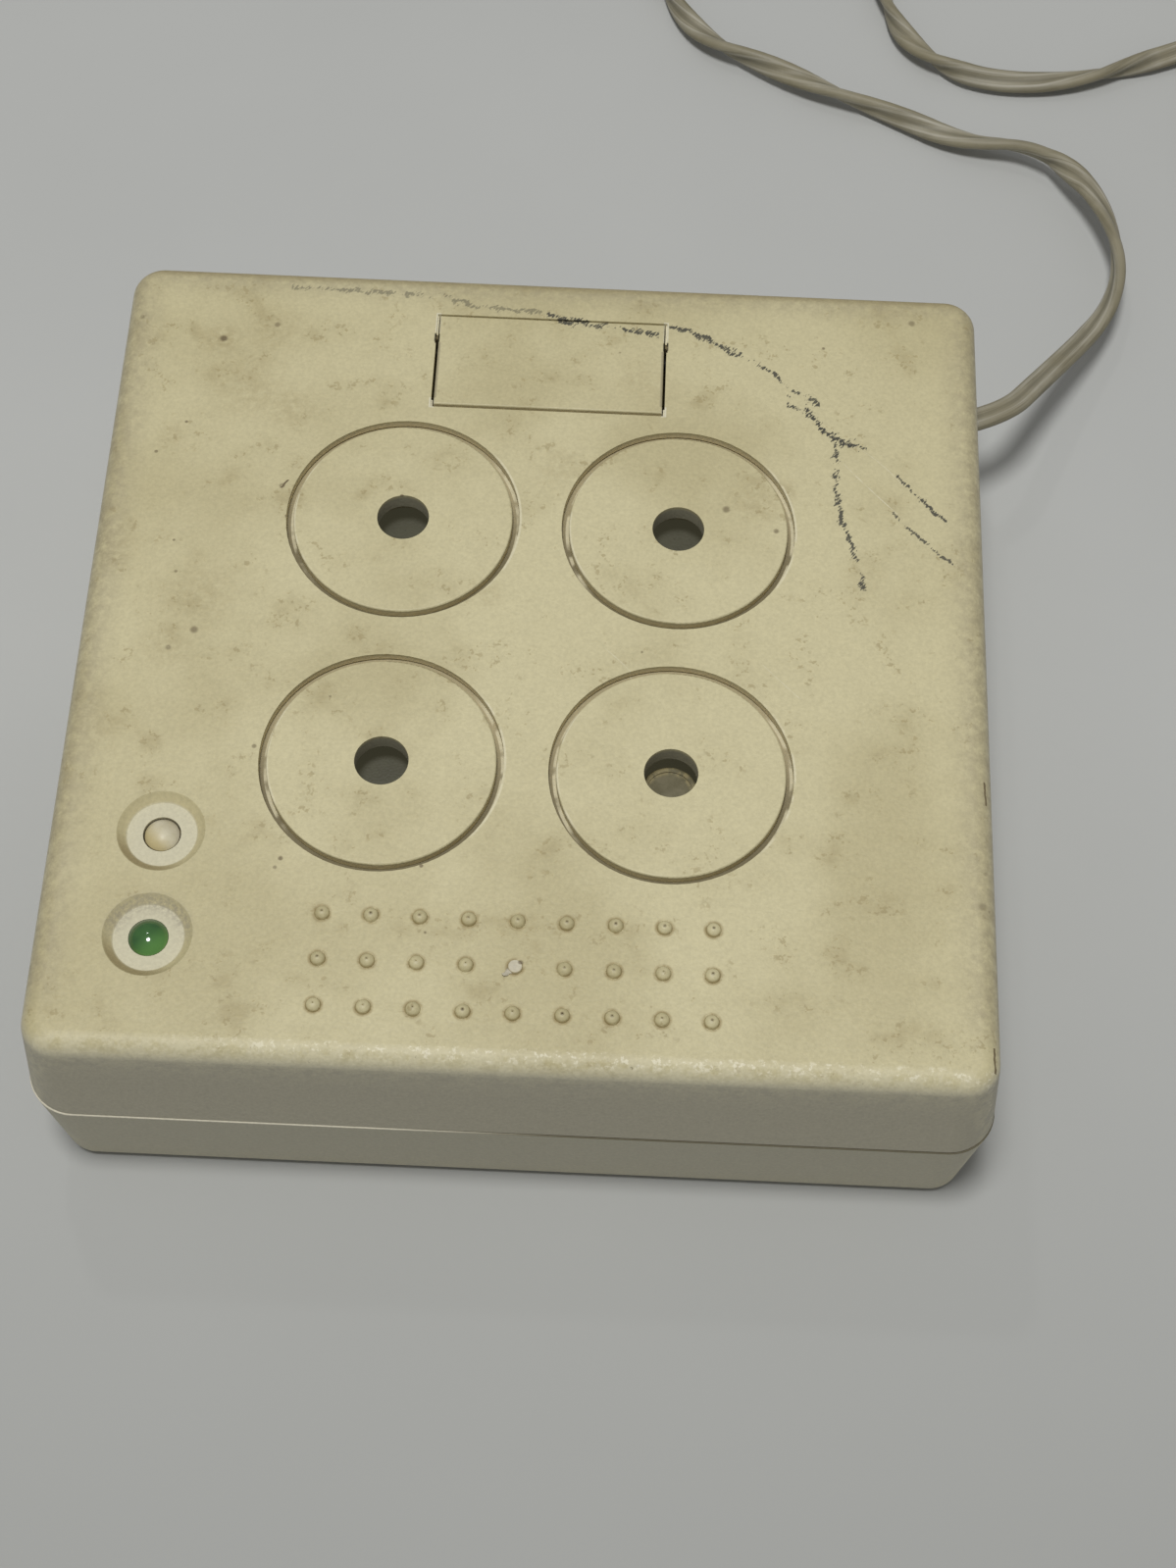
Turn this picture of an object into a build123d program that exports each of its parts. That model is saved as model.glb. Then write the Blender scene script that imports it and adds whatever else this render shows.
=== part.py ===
"""Square table-top push-button unit: two moulded shells, four large sprung buttons,
a rocking push bar, a small button, a lamp, a circuit board and a twin-core cord."""
from build123d import *
from math import atan, cos, degrees, pi, radians, sin, tan
import os

# ---- driving dimensions, millimetres; +Z up, z = 0 is the table, x = y = 0 the middle ----
TOP_Z = 39.4                 # flat top face
SEAM_Z = 20.9                # parting line of the two shells
BASE_Z = 0.6                 # underside of the lower shell, which stands on its feet
TOP_HALF, SEAM_HALF, BASE_HALF = 60.6, 62.6, 60.9    # half widths of the square outline
SEAM_STEP = 0.12             # the lower shell stands proud by this much at the parting line
SEAM_CORNER = 6.2            # radius of the upright corners at the parting line
TOP_ROUND, BOTTOM_ROUND = 2.7, 1.5                   # rolled edges
WALL, TOP_WALL, FLOOR = 2.4, 2.5, 2.4
CAVITY_HALF, CAVITY_CORNER = 58.5, 3.0               # straight inside of the lower shell
TONGUE_RISE, TONGUE_HALF = 1.5, 59.75

BUTTON_PITCH = 37.76
BUTTON_R, BUTTON_HOLE_R, BUTTON_EYE_R = 15.0, 16.0, 3.55
LIP = 1.2                    # thickness of the cover over a button's flange
FLANGE_R, COLLAR_IN_R, COLLAR_OUT_R, COLLAR_Z = 17.7, 18.0, 19.2, 31.0
BUTTON_THICK, REST_GAP = 2.7, 0.3
BUTTON_TRAVEL, SMALL_TRAVEL, CLEAR = 2.0, 0.8, 0.1   # strokes, and what is left below each
SPRING_R, SPRING_WIRE, SPRING_TURNS = 2.0, 0.3, 6
SPRING_OFFSET = 13.2         # three springs per button stand on this radius, clear of the eye
PEG_OFFSET = 12.0            # switch, plunger and peg stand this far outside the button's centre
PLUNGER_TOP, PLUNGER_HEAD, PLUNGER_LONG = 31.0, 1.0, 4.7
PLUNGER_R, PLUNGER_HEAD_R = 1.6, 2.2

BOARD_TOP, BOARD_THICK = 22.5, 1.6
BOARD_X, BOARD_Y = 55.0, 50.0
RELAY_X, RELAY_Y, RELAY_SHIFT = 12.0, 13.0, 0.8      # set back a little from the eye's middle
RELAY_TOP = 32.6             # just clear of the pressed button's guide ring
BOARD_SCREWS = [(x, y) for x in (-50.5, 50.5) for y in (-12.0, 45.0)]
COVER_SCREWS = [(x, y) for x in (-48.0, 48.0) for y in (-54.0, 54.0)]
FEET = [(x, y) for x in (-46.0, 46.0) for y in (-42.0, 42.0)]

LAMP_X, SMALL_BUTTON_Y, LAMP_Y = -46.25, -30.4, -44.9
DISH_R, DISH_FLOOR_R, DISH_DEPTH = 5.7, 4.5, 1.1
SMALL_R, SMALL_HOLE_R, SMALL_BORE_LOW = 2.25, 2.45, 25.0
SMALL_EDGE_Z, SMALL_RISE = 38.0, 1.1                 # where its dome starts, and how high it is
LAMP_R = 2.5

PIP_X, PIP_Y, PIP_PITCH_X, PIP_PITCH_Y = -24.62, -40.97, 6.18, 6.24
PIP_COLUMNS, PIP_ROWS = 9, 3
PIP_R, PIP_RISE, PIP_PIT_R, PIP_PIT_DEPTH = 1.0, 0.78, 0.2, 0.22
WORN_PIP, WORN_RISE = (1, 4), 0.34                   # row and column of the one rubbed flat

BAR_HALF, BAR_FRONT, BAR_BACK = 16.45, 37.55, 53.7   # the slot in the cover
BAR_SIDE_GAP, BAR_FRONT_GAP, BAR_BACK_GAP = 0.35, 0.6, 0.12
BAR_RIB, BAR_RIB_TOP = 0.2, 38.9                     # ribs that narrow the side gaps at their ends
BAR_RIB_SPANS = [(37.55, 39.0), (50.3, 53.7)]
BAR_TOP, BAR_THICK = 39.3, 2.2
PIVOT_Y, PIVOT_Z, PIVOT_R = 49.5, 35.4, 1.0
LUG_X, EAR_X = 13.0, 19.2    # middles of the bar's lugs and of the cover's ears

CORD_R = 1.85                # half the width of the flat twin cord
CORD_EXIT, NOTCH_R = (62.5, 52.3, SEAM_Z), 2.6
CORD_ON_TABLE = 1.9          # height of the cord's middle where it lies down
COIL_CENTRE, COIL_R, COIL_WIDTH, COIL_HEIGHT = (139.0, 127.5), 21.0, 14.8, 11.1
PLUG_AXIS_Z = 4.6            # the plug's body lies on the table beside the coil
TAIL_ROUTE = [(160.0, 122.0, 3.6), (161.5, 112.0, 3.6), (161.5, 102.0, PLUG_AXIS_Z),
              (161.5, 92.0, PLUG_AXIS_Z)]
CORD_ROUTE = [
    CORD_EXIT, (68.4, 55.2, 19.8), (73.8, 63.6, 15.6), (79.2, 72.0, 11.2),
    (84.6, 80.6, 7.0), (89.0, 88.8, 3.9), (91.9, 98.2, 2.6), (91.7, 108.4, 3.0),
    (87.0, 117.0, 3.6), (78.0, 123.4, 3.2), (66.0, 123.4, 2.2), (54.6, 130.4, 2.4),
    (43.6, 135.6, 3.0), (33.0, 140.4, 3.2), (20.8, 145.8, 2.8),
    (13.4, 158.6, CORD_ON_TABLE), (14.2, 174.4, CORD_ON_TABLE),
    (25.2, 187.2, CORD_ON_TABLE), (41.0, 187.8, CORD_ON_TABLE),
    (51.2, 176.6, CORD_ON_TABLE), (52.0, 161.6, 2.2), (55.4, 146.2, 2.8),
    (66.2, 137.4, 2.6), (81.6, 137.0, 2.0), (97.0, 142.2, 2.4), (111.6, 149.2, 2.2),
    (127.0, 150.4, CORD_ON_TABLE), (139.0, 148.5, CORD_ON_TABLE),
]

PLUG_LONG, BARREL_R, BARREL_LONG = 25.0, 2.75, 9.5

BUTTONS = {
    "back_left": (-BUTTON_PITCH / 2, BUTTON_PITCH / 2),
    "back_right": (BUTTON_PITCH / 2, BUTTON_PITCH / 2),
    "front_left": (-BUTTON_PITCH / 2, -BUTTON_PITCH / 2),
    "front_right": (BUTTON_PITCH / 2, -BUTTON_PITCH / 2),
}


def rod(radius, z_low, z_high, x=0.0, y=0.0):
    """An upright cylinder between two heights."""
    return Pos(x, y, (z_low + z_high) / 2) * Cylinder(radius, z_high - z_low)


def block(x_low, x_high, y_low, y_high, z_low, z_high):
    """A box between its low and high corners."""
    middle = Pos((x_low + x_high) / 2, (y_low + y_high) / 2, (z_low + z_high) / 2)
    return middle * Box(x_high - x_low, y_high - y_low, z_high - z_low)


def crossbar(radius, x_low, x_high, y, z):
    """A round bar along X."""
    return Pos((x_low + x_high) / 2, y, z) * Rot(0, 90, 0) * Cylinder(radius, x_high - x_low)


def square_prism(half, corner, z_start, z_end, half_end=None):
    """A rounded square column that narrows from half at z_start to half_end at z_end."""
    height = abs(z_end - z_start)
    taper = 0.0 if half_end is None else degrees(atan((half - half_end) / height))
    start = Plane(origin=(0, 0, z_start), z_dir=(0, 0, 1 if z_end > z_start else -1))
    return extrude(start * RectangleRounded(2 * half, 2 * half, corner), height, taper=taper)


def turned(points):
    """A solid of revolution from (radius, z) points, closed along the axis."""
    profile = Polyline([(r, 0, z) for r, z in points], close=True)
    return revolve(make_face(profile), Axis.Z, 360)


def dome(radius, z, rise, x, y):
    """A spherical cap that stands on height z."""
    ball = (radius ** 2 + rise ** 2) / (2 * rise)
    cap = Pos(x, y, z + rise - ball) * Sphere(ball)
    return cap & rod(radius, z, z + rise + 1, x, y)


def coil_spring(radius, wire, z_low, z_high, turns, x, y):
    """A compression spring as one swept wire, just clear of the faces it presses on."""
    clear = wire + 0.1
    height = z_high - z_low - 2 * clear
    line = Helix(height / turns, height, radius)
    start = Plane(origin=line @ 0, z_dir=line % 0)
    return Pos(x, y, z_low + clear) * sweep(start * Circle(wire), path=line, is_frenet=True)


# ---- shells -------------------------------------------------------------------------------

def pips():
    """Raised round pips in rows, each with a small pit at its crown; one is rubbed flat."""
    shapes = []
    for row in range(PIP_ROWS):
        for column in range(PIP_COLUMNS):
            x = PIP_X + column * PIP_PITCH_X
            y = PIP_Y - row * PIP_PITCH_Y
            low = TOP_Z - 0.3
            pip = rod(PIP_R, low, TOP_Z, x, y) + dome(PIP_R, TOP_Z, PIP_RISE, x, y)
            crown = TOP_Z + PIP_RISE
            pit = Pos(x, y, crown) * Cone(0.02, PIP_PIT_R, 2 * PIP_PIT_DEPTH)
            if (row, column) == WORN_PIP:
                shapes.append(pip - rod(PIP_R + 0.5, TOP_Z + WORN_RISE, crown + 1, x, y))
            else:
                shapes.append(pip - pit)
    return shapes


def top_cover():
    shell = square_prism(SEAM_HALF, SEAM_CORNER, SEAM_Z, TOP_Z, TOP_HALF)
    shell = fillet(shell.faces().sort_by(Axis.Z)[-1].edges(), TOP_ROUND)
    shell = chamfer(shell.faces().sort_by(Axis.Z)[0].edges(), 0.25)
    inner_half = SEAM_HALF - WALL
    slope = (SEAM_HALF - TOP_HALF) / (TOP_Z - SEAM_Z)
    ceiling = TOP_Z - TOP_WALL
    shell -= square_prism(inner_half, SEAM_CORNER - WALL, SEAM_Z, ceiling,
                          inner_half - slope * (ceiling - SEAM_Z))
    for x, y in BUTTONS.values():
        shell += rod(COLLAR_OUT_R, COLLAR_Z, ceiling, x, y)
    for x, y in BOARD_SCREWS:
        shell += rod(3.0, BOARD_TOP, ceiling, x, y)
        shell -= rod(1.3, BOARD_TOP, BOARD_TOP + 8, x, y)
    for x, y in COVER_SCREWS:
        shell += rod(3.4, SEAM_Z - 1.9, ceiling, x, y)
        shell -= rod(1.45, SEAM_Z - 1.9, SEAM_Z + 9, x, y)
    for side in (-1, 1):
        ear = block(EAR_X - 1.1, EAR_X + 1.1, PIVOT_Y - 2.4, PIVOT_Y + 2.4, PIVOT_Z - 1.9, ceiling)
        shell += ear if side > 0 else ear.mirror(Plane.YZ)
    shell += pips()

    cuts = [rod(COLLAR_IN_R, COLLAR_Z - 1, TOP_Z - LIP, x, y) for x, y in BUTTONS.values()]
    cuts += [rod(BUTTON_HOLE_R, TOP_Z - LIP - 1, TOP_Z + 1, x, y) for x, y in BUTTONS.values()]
    for y, hole_r in ((SMALL_BUTTON_Y, SMALL_HOLE_R), (LAMP_Y, LAMP_R + 0.05)):
        dish = Cone(DISH_FLOOR_R, DISH_R, DISH_DEPTH)
        cuts.append(Pos(LAMP_X, y, TOP_Z - DISH_DEPTH / 2) * dish)
        cuts.append(rod(hole_r, ceiling - 1, TOP_Z, LAMP_X, y))
    cuts.append(bar_slot(ceiling))
    cuts.append(crossbar(PIVOT_R, -EAR_X - 1.1, EAR_X + 1.1, PIVOT_Y, PIVOT_Z))
    cuts.append(cord_notch())
    return shell - cuts


def bar_slot(ceiling):
    """The slot round the push bar: ribbed at the ends of its sides, a little wider at the pivot."""
    slot = block(-BAR_HALF, BAR_HALF, BAR_FRONT, BAR_BACK, COLLAR_Z - 1, TOP_Z + 1)
    for side in (-1, 1):
        outer, inner = side * BAR_HALF, side * (BAR_HALF - BAR_RIB)
        for y_low, y_high in BAR_RIB_SPANS:
            slot -= block(min(outer, inner), max(outer, inner), y_low, y_high, ceiling, BAR_RIB_TOP)
    wide = BAR_HALF + 0.15
    return slot + block(-wide, wide, PIVOT_Y - 0.9, PIVOT_Y + 0.7, ceiling - 1, TOP_Z + 1)


def cord_notch():
    return crossbar(NOTCH_R, CAVITY_HALF - 1, SEAM_HALF + 1, CORD_EXIT[1], SEAM_Z)


def base_shell():
    shell = square_prism(SEAM_HALF + SEAM_STEP, SEAM_CORNER, SEAM_Z, BASE_Z, BASE_HALF)
    shell = fillet(shell.faces().sort_by(Axis.Z)[0].edges(), BOTTOM_ROUND)
    shell = fillet(shell.faces().sort_by(Axis.Z)[-1].edges(), 0.25)
    shell += square_prism(TONGUE_HALF, CAVITY_CORNER + 1.2, SEAM_Z - 1, SEAM_Z + TONGUE_RISE)
    floor = BASE_Z + FLOOR
    shell -= square_prism(CAVITY_HALF, CAVITY_CORNER, floor, SEAM_Z + TONGUE_RISE)
    for x, y in COVER_SCREWS:
        shell += rod(4.0, floor - 1, SEAM_Z - 1.9, x, y)
        shell -= rod(3.3, BASE_Z - 1, 7.0, x, y)
        shell -= rod(1.6, 6.0, SEAM_Z, x, y)
    for x, y in FEET:
        shell -= rod(5.2, BASE_Z - 1, BASE_Z + 0.8, x, y)
    return shell - cord_notch()


def rubber_feet():
    feet = []
    for x, y in FEET:
        pad = rod(5.0, 0, BASE_Z + 0.8, x, y)
        feet.append(chamfer(pad.faces().sort_by(Axis.Z)[0].edges(), 0.3))
    return feet


def pan_head_screws(places, seat_z, head_r, head_high, shank_r, length):
    """Cross-head screws that point up from their seat."""
    screws = []
    for x, y in places:
        head = rod(head_r, seat_z - head_high, seat_z, x, y)
        head = fillet(head.faces().sort_by(Axis.Z)[0].edges(), head_high * 0.4)
        point = Pos(x, y, seat_z + length + 0.75) * Cone(shank_r, 0.3, 1.5)
        screw = head + rod(shank_r, seat_z, seat_z + length, x, y) + point
        for across, along in ((0.35, 1.5), (1.5, 0.35)):
            screw -= block(x - across, x + across, y - along, y + along,
                           seat_z - head_high - 1, seat_z - head_high * 0.4)
        screws.append(screw)
    return screws


# ---- buttons ------------------------------------------------------------------------------

def big_button(x, y):
    """A round cap with an eye in the middle, a flange under the cover's lip and a skirt."""
    flange_top = TOP_Z - LIP - REST_GAP
    under = TOP_Z - BUTTON_THICK
    skirt = rod(FLANGE_R, COLLAR_Z + 0.6, flange_top, x, y)
    skirt -= rod(FLANGE_R - 1.5, COLLAR_Z, under, x, y)
    cap = rod(BUTTON_R, under, TOP_Z, x, y)
    cap = fillet(cap.faces().sort_by(Axis.Z)[-1].edges(), 0.25)
    guide = rod(5.4, under - 1.7, under, x, y) - rod(4.5, under - 2, under, x, y)
    peg_x = x + (PEG_OFFSET if x > 0 else -PEG_OFFSET)
    peg = rod(2.0, PLUNGER_TOP, under, peg_x, y)
    return skirt + cap + guide + peg - rod(BUTTON_EYE_R, under - 1, TOP_Z + 1, x, y)


def switch_body(x, y, wide, high, bore_r, bore_low):
    """A square switch housing on four pins through the board."""
    half = wide / 2
    body = block(x - half, x + half, y - half, y + half, BOARD_TOP, BOARD_TOP + high)
    body = chamfer(body.faces().sort_by(Axis.Z)[-1].edges(), 0.4)
    body -= rod(bore_r, bore_low, BOARD_TOP + high + 1, x, y)
    for pin_x, pin_y in pin_places(x, y, half):
        body += rod(0.4, BOARD_TOP - BOARD_THICK - 1.2, BOARD_TOP + 0.5, pin_x, pin_y)
    return body


def pin_places(x, y, half):
    inset = half - 0.9
    return [(x + across, y + along) for across in (-inset, inset) for along in (-inset, inset)]


def plunger(x, y):
    """The cap of a switch: a stem in its bore, and a wider head that its button's peg presses."""
    stem = rod(PLUNGER_R, PLUNGER_TOP - PLUNGER_LONG, PLUNGER_TOP, x, y)
    return stem + rod(PLUNGER_HEAD_R, PLUNGER_TOP - PLUNGER_HEAD, PLUNGER_TOP, x, y)


def button_springs(x, y, under):
    """Three springs at equal angles, one of them straight across from the peg."""
    across = 180 if x > 0 else 0
    springs = []
    for angle in (across, across + 120, across + 240):
        spring_x = x + SPRING_OFFSET * cos(radians(angle))
        spring_y = y + SPRING_OFFSET * sin(radians(angle))
        springs.append(coil_spring(SPRING_R, SPRING_WIRE, BOARD_TOP, under, SPRING_TURNS,
                                   spring_x, spring_y))
    return springs


def small_button():
    """The little domed button, with a flange under the dish and a stem into its switch."""
    x, y = LAMP_X, SMALL_BUTTON_Y
    stem_low = SMALL_BORE_LOW + SMALL_TRAVEL + 7 * CLEAR
    flange_top = TOP_Z - TOP_WALL - 0.4
    shape = rod(SMALL_R, flange_top, SMALL_EDGE_Z, x, y)
    shape += dome(SMALL_R, SMALL_EDGE_Z, SMALL_RISE, x, y)
    return shape + rod(3.2, flange_top - 1.1, flange_top, x, y) + rod(1.5, stem_low, flange_top, x, y)


def push_bar():
    """The rocking plate at the back, with two lugs on the pivot and one leg for the switch."""
    low = BAR_TOP - BAR_THICK
    side = BAR_HALF - BAR_SIDE_GAP
    plate = block(-side, side, BAR_FRONT + BAR_FRONT_GAP, BAR_BACK - BAR_BACK_GAP, low, BAR_TOP)
    plate = fillet(plate.faces().sort_by(Axis.Z)[-1].edges(), 0.25)
    for x in (-LUG_X, LUG_X):
        plate += block(x - 1.25, x + 1.25, PIVOT_Y - 2.2, PIVOT_Y + 2.2, PIVOT_Z - 1.8, low)
    plate += rod(2.0, 31.3, low, 0, 41.5)
    return plate - crossbar(PIVOT_R + 0.06, -BAR_HALF, BAR_HALF, PIVOT_Y, PIVOT_Z)


# ---- lamp and board -----------------------------------------------------------------------

def green_lamp():
    x, y = LAMP_X, LAMP_Y
    floor = TOP_Z - DISH_DEPTH
    lens = rod(LAMP_R, 33.0, floor, x, y) + dome(LAMP_R, floor, 1.25, x, y)
    return lens + rod(2.9, 33.0, 34.0, x, y)


def lamp_leads():
    return [block(LAMP_X - 0.25, LAMP_X + 0.25, LAMP_Y + s - 0.25, LAMP_Y + s + 0.25,
                  BOARD_TOP, 33.0) for s in (-1.27, 1.27)]


def switch_sites():
    """Name, place and body half width of every switch on the board."""
    sites = {}
    for name, (x, y) in BUTTONS.items():
        sites[name] = (x + (PEG_OFFSET if x > 0 else -PEG_OFFSET), y, 4.0)
    sites["small"] = (LAMP_X, SMALL_BUTTON_Y, 3.1)
    sites["bar"] = (0.0, 41.5, 3.1)
    return sites


def circuit_board():
    board = block(-BOARD_X, BOARD_X, -BOARD_Y, BOARD_Y, BOARD_TOP - BOARD_THICK, BOARD_TOP)
    board = chamfer(board.edges().filter_by(Axis.Z), 2.0)
    holes = [rod(1.5, BOARD_TOP - 3, BOARD_TOP + 1, x, y) for x, y in BOARD_SCREWS]
    for x, y, half in switch_sites().values():
        holes += [rod(0.5, BOARD_TOP - 3, BOARD_TOP + 1, *p) for p in pin_places(x, y, half)]
    return board - holes


def tall_capacitor():
    """The upright can under the eye of the front right button: sleeve rolled over its top."""
    x, y = BUTTONS["front_right"]
    top = TOP_Z - 5.6
    can = rod(3.9, BOARD_TOP, top, x, y)
    can = fillet(can.faces().sort_by(Axis.Z)[-1].edges(), 0.4)
    return can - rod(3.1, top - 0.25, top + 1, x, y)


def sealed_relays():
    """Low potted relays that stand under the eyes of the other three buttons."""
    relays = []
    for name in ("back_left", "back_right", "front_left"):
        x, y = BUTTONS[name]
        y += RELAY_SHIFT
        body = block(x - RELAY_X / 2, x + RELAY_X / 2, y - RELAY_Y / 2, y + RELAY_Y / 2,
                     BOARD_TOP, RELAY_TOP)
        body = chamfer(body.edges().filter_by(Axis.Z), 0.8)
        relays.append(fillet(body.faces().sort_by(Axis.Z)[-1].edges(), 0.3))
    return relays


def small_capacitors():
    return [fillet(rod(2.5, BOARD_TOP, BOARD_TOP + 7, x, y).faces().sort_by(Axis.Z)[-1].edges(), 0.3)
            for x, y in ((31.0, -43.0), (38.0, -43.0), (22.0, 0.0))]


def control_chip():
    """A narrow dual-in-line chip standing on its two rows of legs."""
    low = BOARD_TOP + 0.5
    chip = block(-11.4, 11.4, -46.2, -39.8, low, low + 3.4)
    chip -= rod(0.8, low + 3.0, low + 4, -10.4, -43)
    for leg in range(9):
        x = (leg - 4) * 2.54
        for y in (-46.7, -40.0):
            chip += block(x - 0.4, x + 0.4, y, y + 0.7, BOARD_TOP, low + 1.6)
    return chip


def resistors():
    parts = []
    for x, y in ((-6, -4), (-6, 4), (-34, -44), (-34, -40), (44, -30), (44, -26)):
        body = crossbar(1.15, x - 3.1, x + 3.1, y, BOARD_TOP + 1.6)
        wire = crossbar(0.3, x - 5.0, x + 5.0, y, BOARD_TOP + 1.6)
        feet = [rod(0.3, BOARD_TOP, BOARD_TOP + 1.8, x + s * 4.8, y) for s in (-1, 1)]
        parts.append(body + wire + feet)
    return parts


def terminal_block():
    body = block(46.6, 53.4, 26.0, 38.0, BOARD_TOP, BOARD_TOP + 8)
    body = chamfer(body.edges().filter_by(Axis.Y).sort_by(Axis.Z)[-2:], 1.0)
    for y in (29.0, 35.0):
        body -= rod(1.6, BOARD_TOP + 5, BOARD_TOP + 9, 50.0, y)
        body -= crossbar(0.95, 51.0, 54.0, y, BOARD_TOP + 3)
    return body


# ---- cord ---------------------------------------------------------------------------------

def cord_grommet():
    neck = crossbar(NOTCH_R - 0.05, CAVITY_HALF - 0.1, CORD_EXIT[0], CORD_EXIT[1], SEAM_Z)
    return neck + crossbar(3.6, CAVITY_HALF - 1.3, CAVITY_HALF - 0.1, CORD_EXIT[1], SEAM_Z)


def cord_cores():
    """The two cores inside the casing, from the grommet to the terminal block."""
    start_x, start_y, start_z = CAVITY_HALF - 1.3, CORD_EXIT[1], SEAM_Z
    cores = []
    for side, end_y in ((-1, 29.0), (1, 35.0)):
        path = [(start_x, start_y, start_z + side), (53.6, start_y, start_z + side),
                (56.9, 45.6, 27.5 + 1.2 * side), (56.9, end_y + 3.5, 27.0 + 1.2 * side),
                (56.0, end_y, BOARD_TOP + 3), (51.2, end_y, BOARD_TOP + 3)]
        cores.append(tube(path, 0.85))
    return cores


def tube(points, radius, report=None):
    """A round tube on straight runs joined by arcs as large as the runs allow."""
    places = [Vector(p) for p in points]
    radii, turns = [], []
    for before, corner, after in zip(places, places[1:], places[2:]):
        turn = (corner - before).get_angle(after - corner)
        shorter = min((corner - before).length, (after - corner).length)
        radii.append(0.45 * shorter / tan(radians(turn / 2)))
        turns.append(turn)
    line = FilletPolyline(places, radius=radii)
    start = Plane(origin=line @ 0, z_dir=line % 0)
    solid = sweep(start * Circle(radius), path=line)
    if report:
        runs = [(b - a).length for a, b in zip(places, places[1:])]
        section = pi * radius ** 2 * line.length
        print(report, "length", round(line.length, 1), "volume over section x length",
              round(solid.volume / section, 4))
        print("  runs", [round(r, 1) for r in runs])
        print("  turns", [round(t) for t in turns])
        print("  radii", [round(r, 1) for r in radii])
    return solid


def cord_coil():
    """The outer shape of the coiled length, a ring that lies on the table."""
    x, y = COIL_CENTRE
    inner, outer = COIL_R - COIL_WIDTH / 2, COIL_R + COIL_WIDTH / 2
    ring = rod(outer, 0.05, COIL_HEIGHT, x, y) - rod(inner, -1, COIL_HEIGHT + 1, x, y)
    return fillet(ring.edges().filter_by(GeomType.CIRCLE), 1.6)


def plug_line():
    """The plug's own axis, which carries on from the last run of the cord's tail."""
    heading = Vector(TAIL_ROUTE[-1]) - Vector(TAIL_ROUTE[-2])
    return Plane(origin=TAIL_ROUTE[-1], x_dir=(0, 0, 1), z_dir=heading)


def plug_body():
    """A moulded grip: tapered strain relief, shoulder and round body."""
    outline = [(0, 0), (2.6, 0), (3.1, 9), (4.5, 12), (4.5, 24), (3.9, PLUG_LONG), (0, PLUG_LONG)]
    return plug_line() * turned(outline)


def plug_barrel():
    barrel = rod(BARREL_R, PLUG_LONG, PLUG_LONG + BARREL_LONG)
    return plug_line() * (barrel - rod(1.05, PLUG_LONG + 1, PLUG_LONG + BARREL_LONG + 1))


def build():
    nodes = {
        "top_cover": top_cover(), "base_shell": base_shell(), "rubber_feet": rubber_feet(),
        "cover_screws": pan_head_screws(COVER_SCREWS, 7.0, 2.9, 2.2, 1.4, 18.0),
        "board_screws": pan_head_screws(BOARD_SCREWS, BOARD_TOP - BOARD_THICK, 2.5, 1.8, 1.25, 7.0),
        "circuit_board": circuit_board(), "tall_capacitor": tall_capacitor(),
        "sealed_relays": sealed_relays(),
        "small_capacitors": small_capacitors(), "control_chip": control_chip(),
        "resistors": resistors(), "terminal_block": terminal_block(),
        "green_lamp": green_lamp(), "lamp_leads": lamp_leads(),
        "push_bar": push_bar(), "small_button": small_button(),
        "bar_pivot_pin": crossbar(PIVOT_R, -EAR_X - 1.1, EAR_X + 1.1, PIVOT_Y, PIVOT_Z),
        "cord_grommet": cord_grommet(), "cord_cores": cord_cores(),
        "cord_lead": tube(CORD_ROUTE, CORD_R, "cord lead"), "cord_coil": cord_coil(),
        "cord_tail": tube(TAIL_ROUTE, CORD_R, "cord tail"),
        "plug_body": plug_body(), "plug_barrel": plug_barrel(),
    }
    under = TOP_Z - BUTTON_THICK
    switch_high = PLUNGER_TOP - PLUNGER_HEAD - BUTTON_TRAVEL - CLEAR - BOARD_TOP
    for name, (x, y) in BUTTONS.items():
        switch_x, switch_y, half = switch_sites()[name]
        nodes["button_" + name] = big_button(x, y)
        nodes["spring_" + name] = button_springs(x, y, under)
        nodes["switch_" + name] = switch_body(switch_x, switch_y, 2 * half, switch_high, 1.95, 24.0)
        nodes["plunger_" + name] = plunger(switch_x, switch_y)
    x, y, half = switch_sites()["small"]
    nodes["small_switch"] = switch_body(x, y, 2 * half, 5.5, 1.8, SMALL_BORE_LOW)
    nodes["small_spring"] = coil_spring(2.2, 0.22, BOARD_TOP + 5.5, 35.4, 5, x, y)
    x, y, half = switch_sites()["bar"]
    nodes["bar_switch"] = switch_body(x, y, 2 * half, 5.5, 1.4, 27.0) + rod(1.4, 26.0, 30.1, x, y)
    nodes["bar_springs"] = [coil_spring(2.4, 0.3, BOARD_TOP, BAR_TOP - BAR_THICK, 6, side * 9.0, 43.0)
                            for side in (-1, 1)]
    return nodes


os.makedirs("parts", exist_ok=True)
for node, shape in build().items():
    solid = Compound(children=list(shape)) if isinstance(shape, (list, ShapeList)) else shape
    export_step(solid, "parts/" + node + ".step")
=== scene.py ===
import math
import bmesh
import bpy
import numpy as np
from mathutils import Matrix, Vector


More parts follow.
